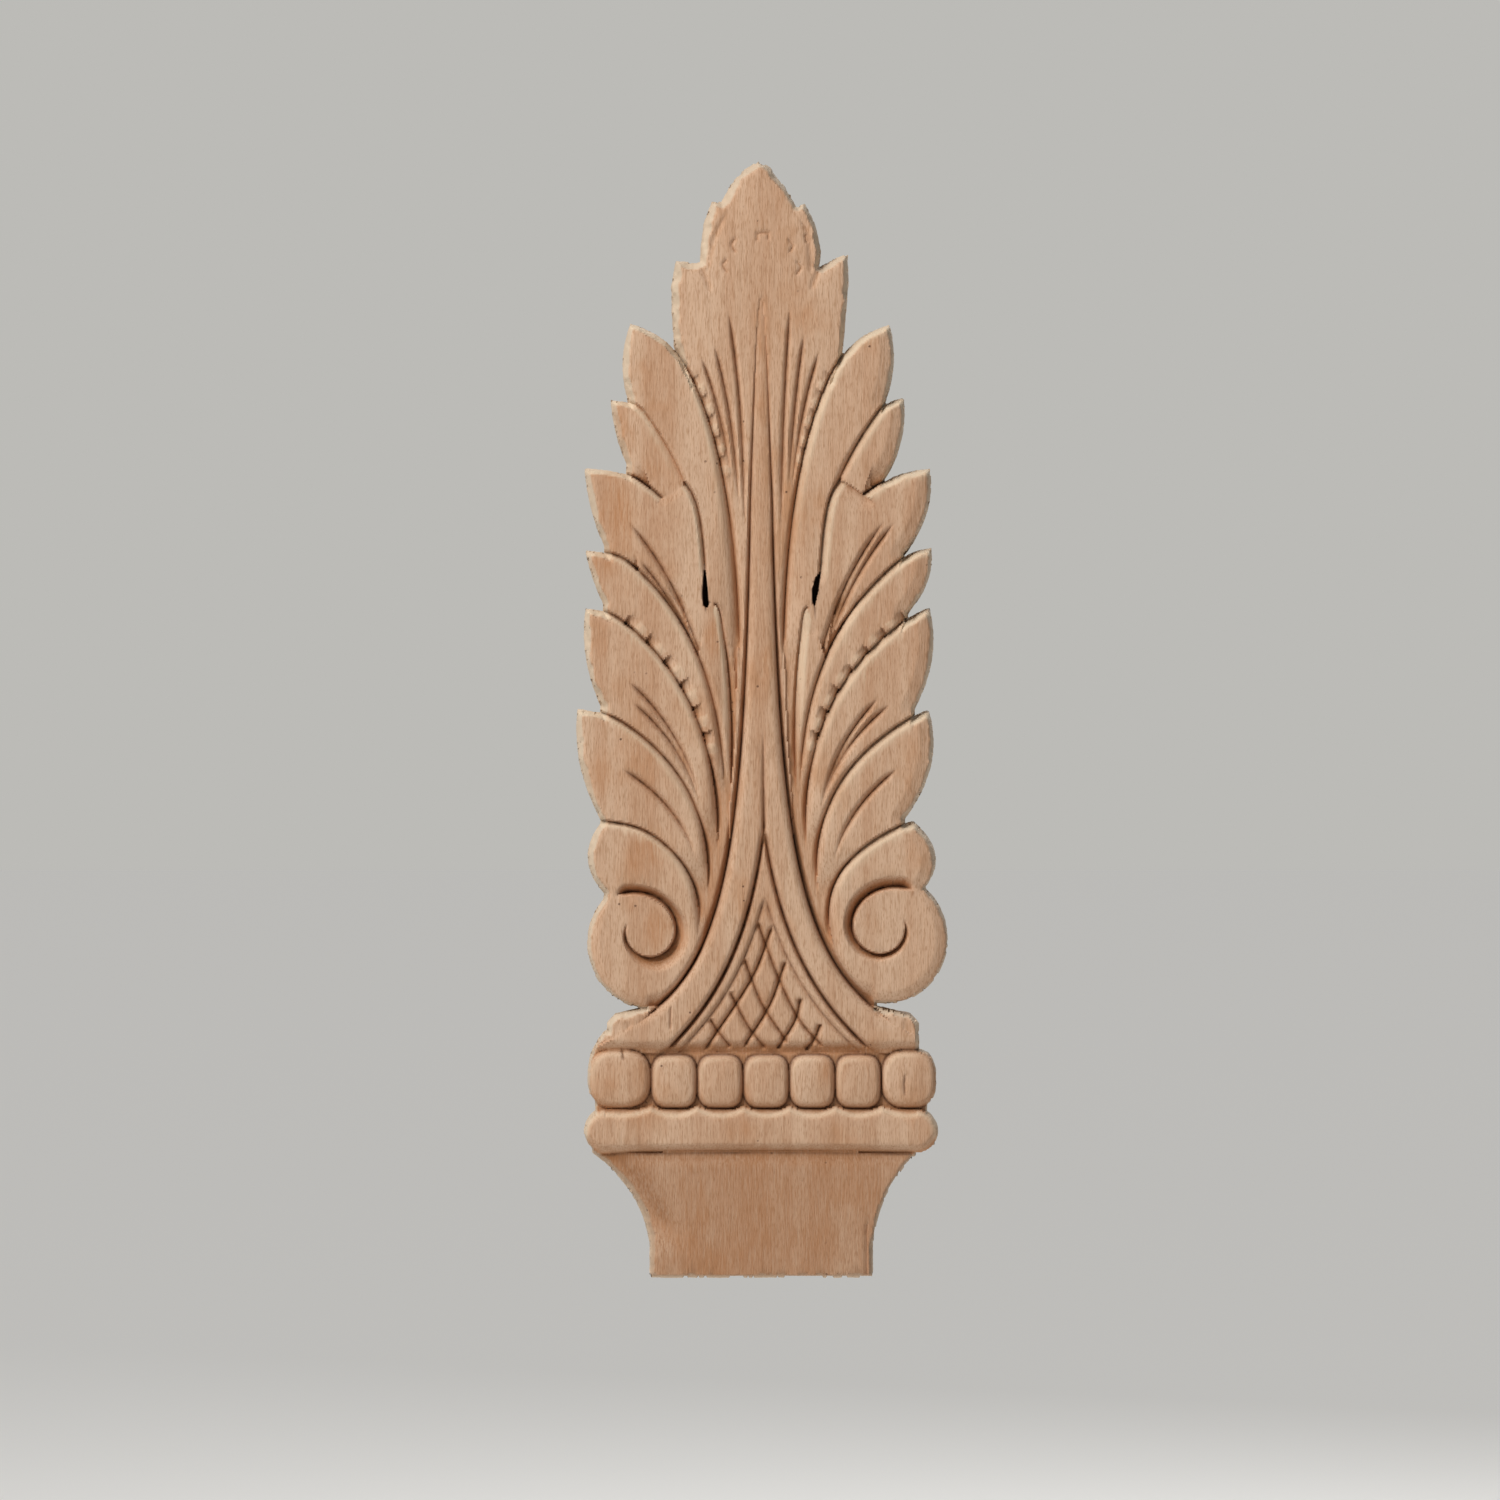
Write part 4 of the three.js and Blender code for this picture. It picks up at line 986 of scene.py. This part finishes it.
steepness = np.maximum(slopeX ** 2 + slopeZ ** 2, 0.25)
reach = np.clip(inside / steepness, -net["pull"], net["pull"])
movedX = np.where(border, gridX - reach * slopeX, gridX)
movedZ = np.where(border, gridZ - reach * slopeZ, gridZ)
offX, offZ = board["nearX"] - gridX, board["nearZ"] - gridZ
most = net["catchShare"]
catch = ~border & (board["near"] < net["catch"])
catch &= (np.abs(offX) < most * net["stepX"]) & (np.abs(offZ) < most * net["stepZ"])
movedX, movedZ = np.where(catch, board["nearX"], movedX), np.where(catch, board["nearZ"], movedZ)

print("stage: relief, second pass")
carveBoard(movedX, movedZ)
board["inside"] = np.where(border, 0, board["inside"] + rough)
finishEdges()
findHollows()
board["depth"] += 0.03 * cloud(movedX, movedZ, 4.5, 9, 21) + 0.02 * cloud(movedX, movedZ, 0.7, 5, 22)
depth = np.clip(board["depth"], levels["floor"], levels["board"])

# The mesh: the front, three rows of points down the sides, and one face that closes the flat back
print("stage: mesh")
order = np.full(used.shape, -1)
order[used] = np.arange(used.sum())
front = np.column_stack([movedX[used], -depth[used], movedZ[used]])
corner = {"a": order[:-1, :-1], "b": order[:-1, 1:], "c": order[1:, 1:], "d": order[1:, :-1]}
a, b, c, d = [corner[name][cells] for name in "abcd"]
fall = depth[used]
inCut = np.abs(fall[a] + fall[c]) < np.abs(fall[b] + fall[d])  # the lower pair lies in the cut
first = np.column_stack([a, b, np.where(inCut, c, d)])
second = np.column_stack([np.where(inCut, a, b), c, d])
padded = np.pad(cells, 1)
beside = {
    "ab": padded[:-2, 1:-1], "bc": padded[1:-1, 2:], "cd": padded[2:, 1:-1], "da": padded[1:-1, :-2],
}
rim = np.vstack([
    np.column_stack([corner[ends[0]][cells & ~taken], corner[ends[1]][cells & ~taken]])
    for ends, taken in beside.items()
])
rimPoints = np.unique(rim[:, 0])
layers, wallFaces = [front], []
upperRow = np.arange(len(front))
for row, share in enumerate((0.25, 0.6, 1.0)):
    top = front[rimPoints]
    ripple = 0.06 * cloud(top[:, 0] + 3 * row, top[:, 2], 0.9, 0.9, 31 + row) * (share < 1)
    layers.append(np.column_stack([top[:, 0] + ripple, top[:, 1] * (1 - share), top[:, 2]]))
    lowerRow = np.full(len(front), -1)
    lowerRow[rimPoints] = len(front) + row * len(rimPoints) + np.arange(len(rimPoints))
    p, q = rim[:, 0], rim[:, 1]
    wallFaces.append(np.column_stack([upperRow[p], lowerRow[p], lowerRow[q], upperRow[q]]))
    upperRow = lowerRow
points = np.vstack(layers) * 0.001
full = bpy.data.meshes.new("fullRelief")
full.from_pydata(points.tolist(), [], first.tolist() + second.tolist() + np.vstack(wallFaces).tolist())
for name in (*marks, "wall", "hollow"):
    onWall = np.full(len(points) - len(front), 1.0 if name == "wall" else 0.0)
    layer = full.attributes.new(name, "FLOAT", "POINT")
    layer.data.foreach_set("value", np.r_[board[name][used], onWall].astype(np.float32))
work = bmesh.new()
work.from_mesh(full)
bmesh.ops.holes_fill(work, edges=work.edges, sides=0)
bmesh.ops.triangulate(work, faces=work.faces)
count = len(work.faces)
work.to_mesh(full)
work.free()
carving = addObject("carvedWood", full)
thin = carving.modifiers.new("thin", "DECIMATE")
thin.ratio = min(1.0, net["mostTriangles"] / count)
mesh = bpy.data.meshes.new_from_object(carving.evaluated_get(bpy.context.evaluated_depsgraph_get()))
carving.modifiers.clear()
mesh.name = "carvedWood"
carving.data = mesh
mesh.shade_smooth()
mesh.set_sharp_from_angle(angle=math.radians(50))
print("triangles", count, "thinned to", len(mesh.polygons))

# Raw wood
wood = {
    # the brown stain colour serves real stains and painted shade, the scorch brown also paints shade
    # in the cuts, the pale colour paints highlights and the soot black paints the shadow in the holes
    "ground": "#be9678", "light": "#cdab8f", "dark": "#a07450", "pore": "#5e3d26",
    "stainAndShade": "#b07647", "scorchAndShade": "#38190a", "holeShadow": "#1c0d06", "paintedHighlight": "#dbc7ab", "wall": "#cdbba4",
    # width and length in mm, detail and seed of each noise; real fibres are finer, but wouldn't show
    "grain": {"fibre": (0.33, 4.5, 2, 3), "hair": (0.2, 1.4, 1, 5),
              "band": (6, 120, 2, 11), "blotch": (10, 16, 3, 23)},
    "poreCell": 2.6,  # mm
    # the cells with a pore: their middle, some of them, in some places
    "pores": [("middle", 0.1, 0.06), ("some", 0.62, 0.72), ("blotch", 0.45, 0.6)],
    # each colour lies over those before it: the mark it keeps to, and the value that it follows from
    # one level to another, with its shares there
    "layers": [
        # browner where the surface lies below its surroundings: partly rawer wood, partly painted
        # shade in the hollows
        ("light", None, "band", 0.35, 0.65, 0, 1), ("stainAndShade", None, "hollow", 0.05, 0.8, 0, 0.7),
        ("stainAndShade", None, "blotch", 0.52, 0.75, 0, 0.5), ("dark", None, "fibre", 0.48, 0.72, 0, 0.5),
        ("light", None, "fibre", 0.48, 0.3, 0, 0.45), ("dark", None, "hair", 0.5, 0.72, 0, 0.55),
        ("wall", "wall", "hair", 0, 1, 0.85, 0.85), ("stainAndShade", "stainAndShade", "fibre", 0.3, 0.65, 0.45, 0.8),
        # paler where a painted highlight lies on bevels, arcs and tops that face the light
        ("paintedHighlight", "paintedHighlight", "hair", 0.3, 0.6, 0.35, 0.8), ("pore", "pore", "hair", 0, 1, 0.8, 0.8),
        # dark lines of scorch and painted shade, and near black painted shadow in the holes where that
        # mark passes 1.1
        ("scorchAndShade", "scorchAndShade", "hair", 0.25, 0.6, 0.75, 1), ("holeShadow", None, "scorchAndShade", 1.1, 1.7, 0, 1),
    ],
}


def rawWood():
    # Raw close-grained hardwood as the router and the gouge left it: tan, fine darker fibres along
    # the leaf, a few open pores and real stains, pale and fuzzy on its sawn sides, no gloss; browner
    # in the hollows, partly rawer wood and partly painted shade, darkened in the cuts by scorch and
    # painted shade, paler where painted highlights lie, and painted black in the holes as shadow
    material = bpy.data.materials.new("rawCarvedHardwood")
    material.use_nodes = True
    tree = material.node_tree
    shader = tree.nodes["Principled BSDF"]
    place = addNode(tree, "TexCoord").outputs["Object"]
    value = {name: addNode(tree, "Attribute", attribute_name=name).outputs["Fac"]
             for name in (*marks, "wall", "hollow")}
    for name, (width, length, detail, seed) in wood["grain"].items():
        scale = (1000 / width, 1000 / width, 1000 / length)
        moved = addNode(tree, "Mapping", {"Vector": place, "Scale": scale, "Location": (seed, 0, 0)})
        value[name] = addNode(tree, "TexNoise", {
            "Vector": moved.outputs["Vector"], "Scale": 1.0, "Detail": detail, "Roughness": 0.6,
        }).outputs["Fac"]
    cells = addNode(tree, "TexVoronoi", {"Vector": place, "Scale": 1000 / wood["poreCell"]})
    value["middle"] = cells.outputs["Distance"]
    value["some"] = addNode(tree, "SeparateColor", {"Color": cells.outputs["Color"]}).outputs[0]
    value["pore"] = 1.0
    for name, low, high in wood["pores"]:
        eased = addNode(tree, "MapRange", {0: value[name], 1: low, 2: high},
                        interpolation_type="SMOOTHSTEP").outputs[0]
        value["pore"] = addNode(tree, "Math", {0: value["pore"], 1: eased},
                                operation="MULTIPLY").outputs[0]
    colour = linear(wood["ground"])
    for over, kept, name, low, high, start, end in wood["layers"]:
        share = addNode(tree, "MapRange", {0: value[name], 1: low, 2: high, 3: start, 4: end},
                        interpolation_type="SMOOTHSTEP").outputs[0]
        if kept:
            share = addNode(tree, "Math", {0: value[kept], 1: share},
                            operation="MULTIPLY").outputs[0]
        colour = addNode(tree, "Mix", {0: share, 6: colour, 7: linear(wood[over])},
                         data_type="RGBA").outputs[2]
    tree.links.new(colour, shader.inputs["Base Color"])
    shader.inputs["Roughness"].default_value = 0.85
    shader.inputs["IOR"].default_value = 1.45
    fine = addNode(tree, "Math", {0: value["fibre"], 1: value["hair"]}, operation="ADD").outputs[0]
    relief = addNode(tree, "Math", {0: value["pore"], 1: -3.0, 2: fine},
                     operation="MULTIPLY_ADD").outputs[0]
    bump = addNode(tree, "Bump", {"Height": relief, "Strength": 0.6, "Distance": 0.0001})
    tree.links.new(bump.outputs["Normal"], shader.inputs["Normal"])
    return material


print("stage: wood")
mesh.materials.append(rawWood())
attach(carving, "root")
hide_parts("applique")
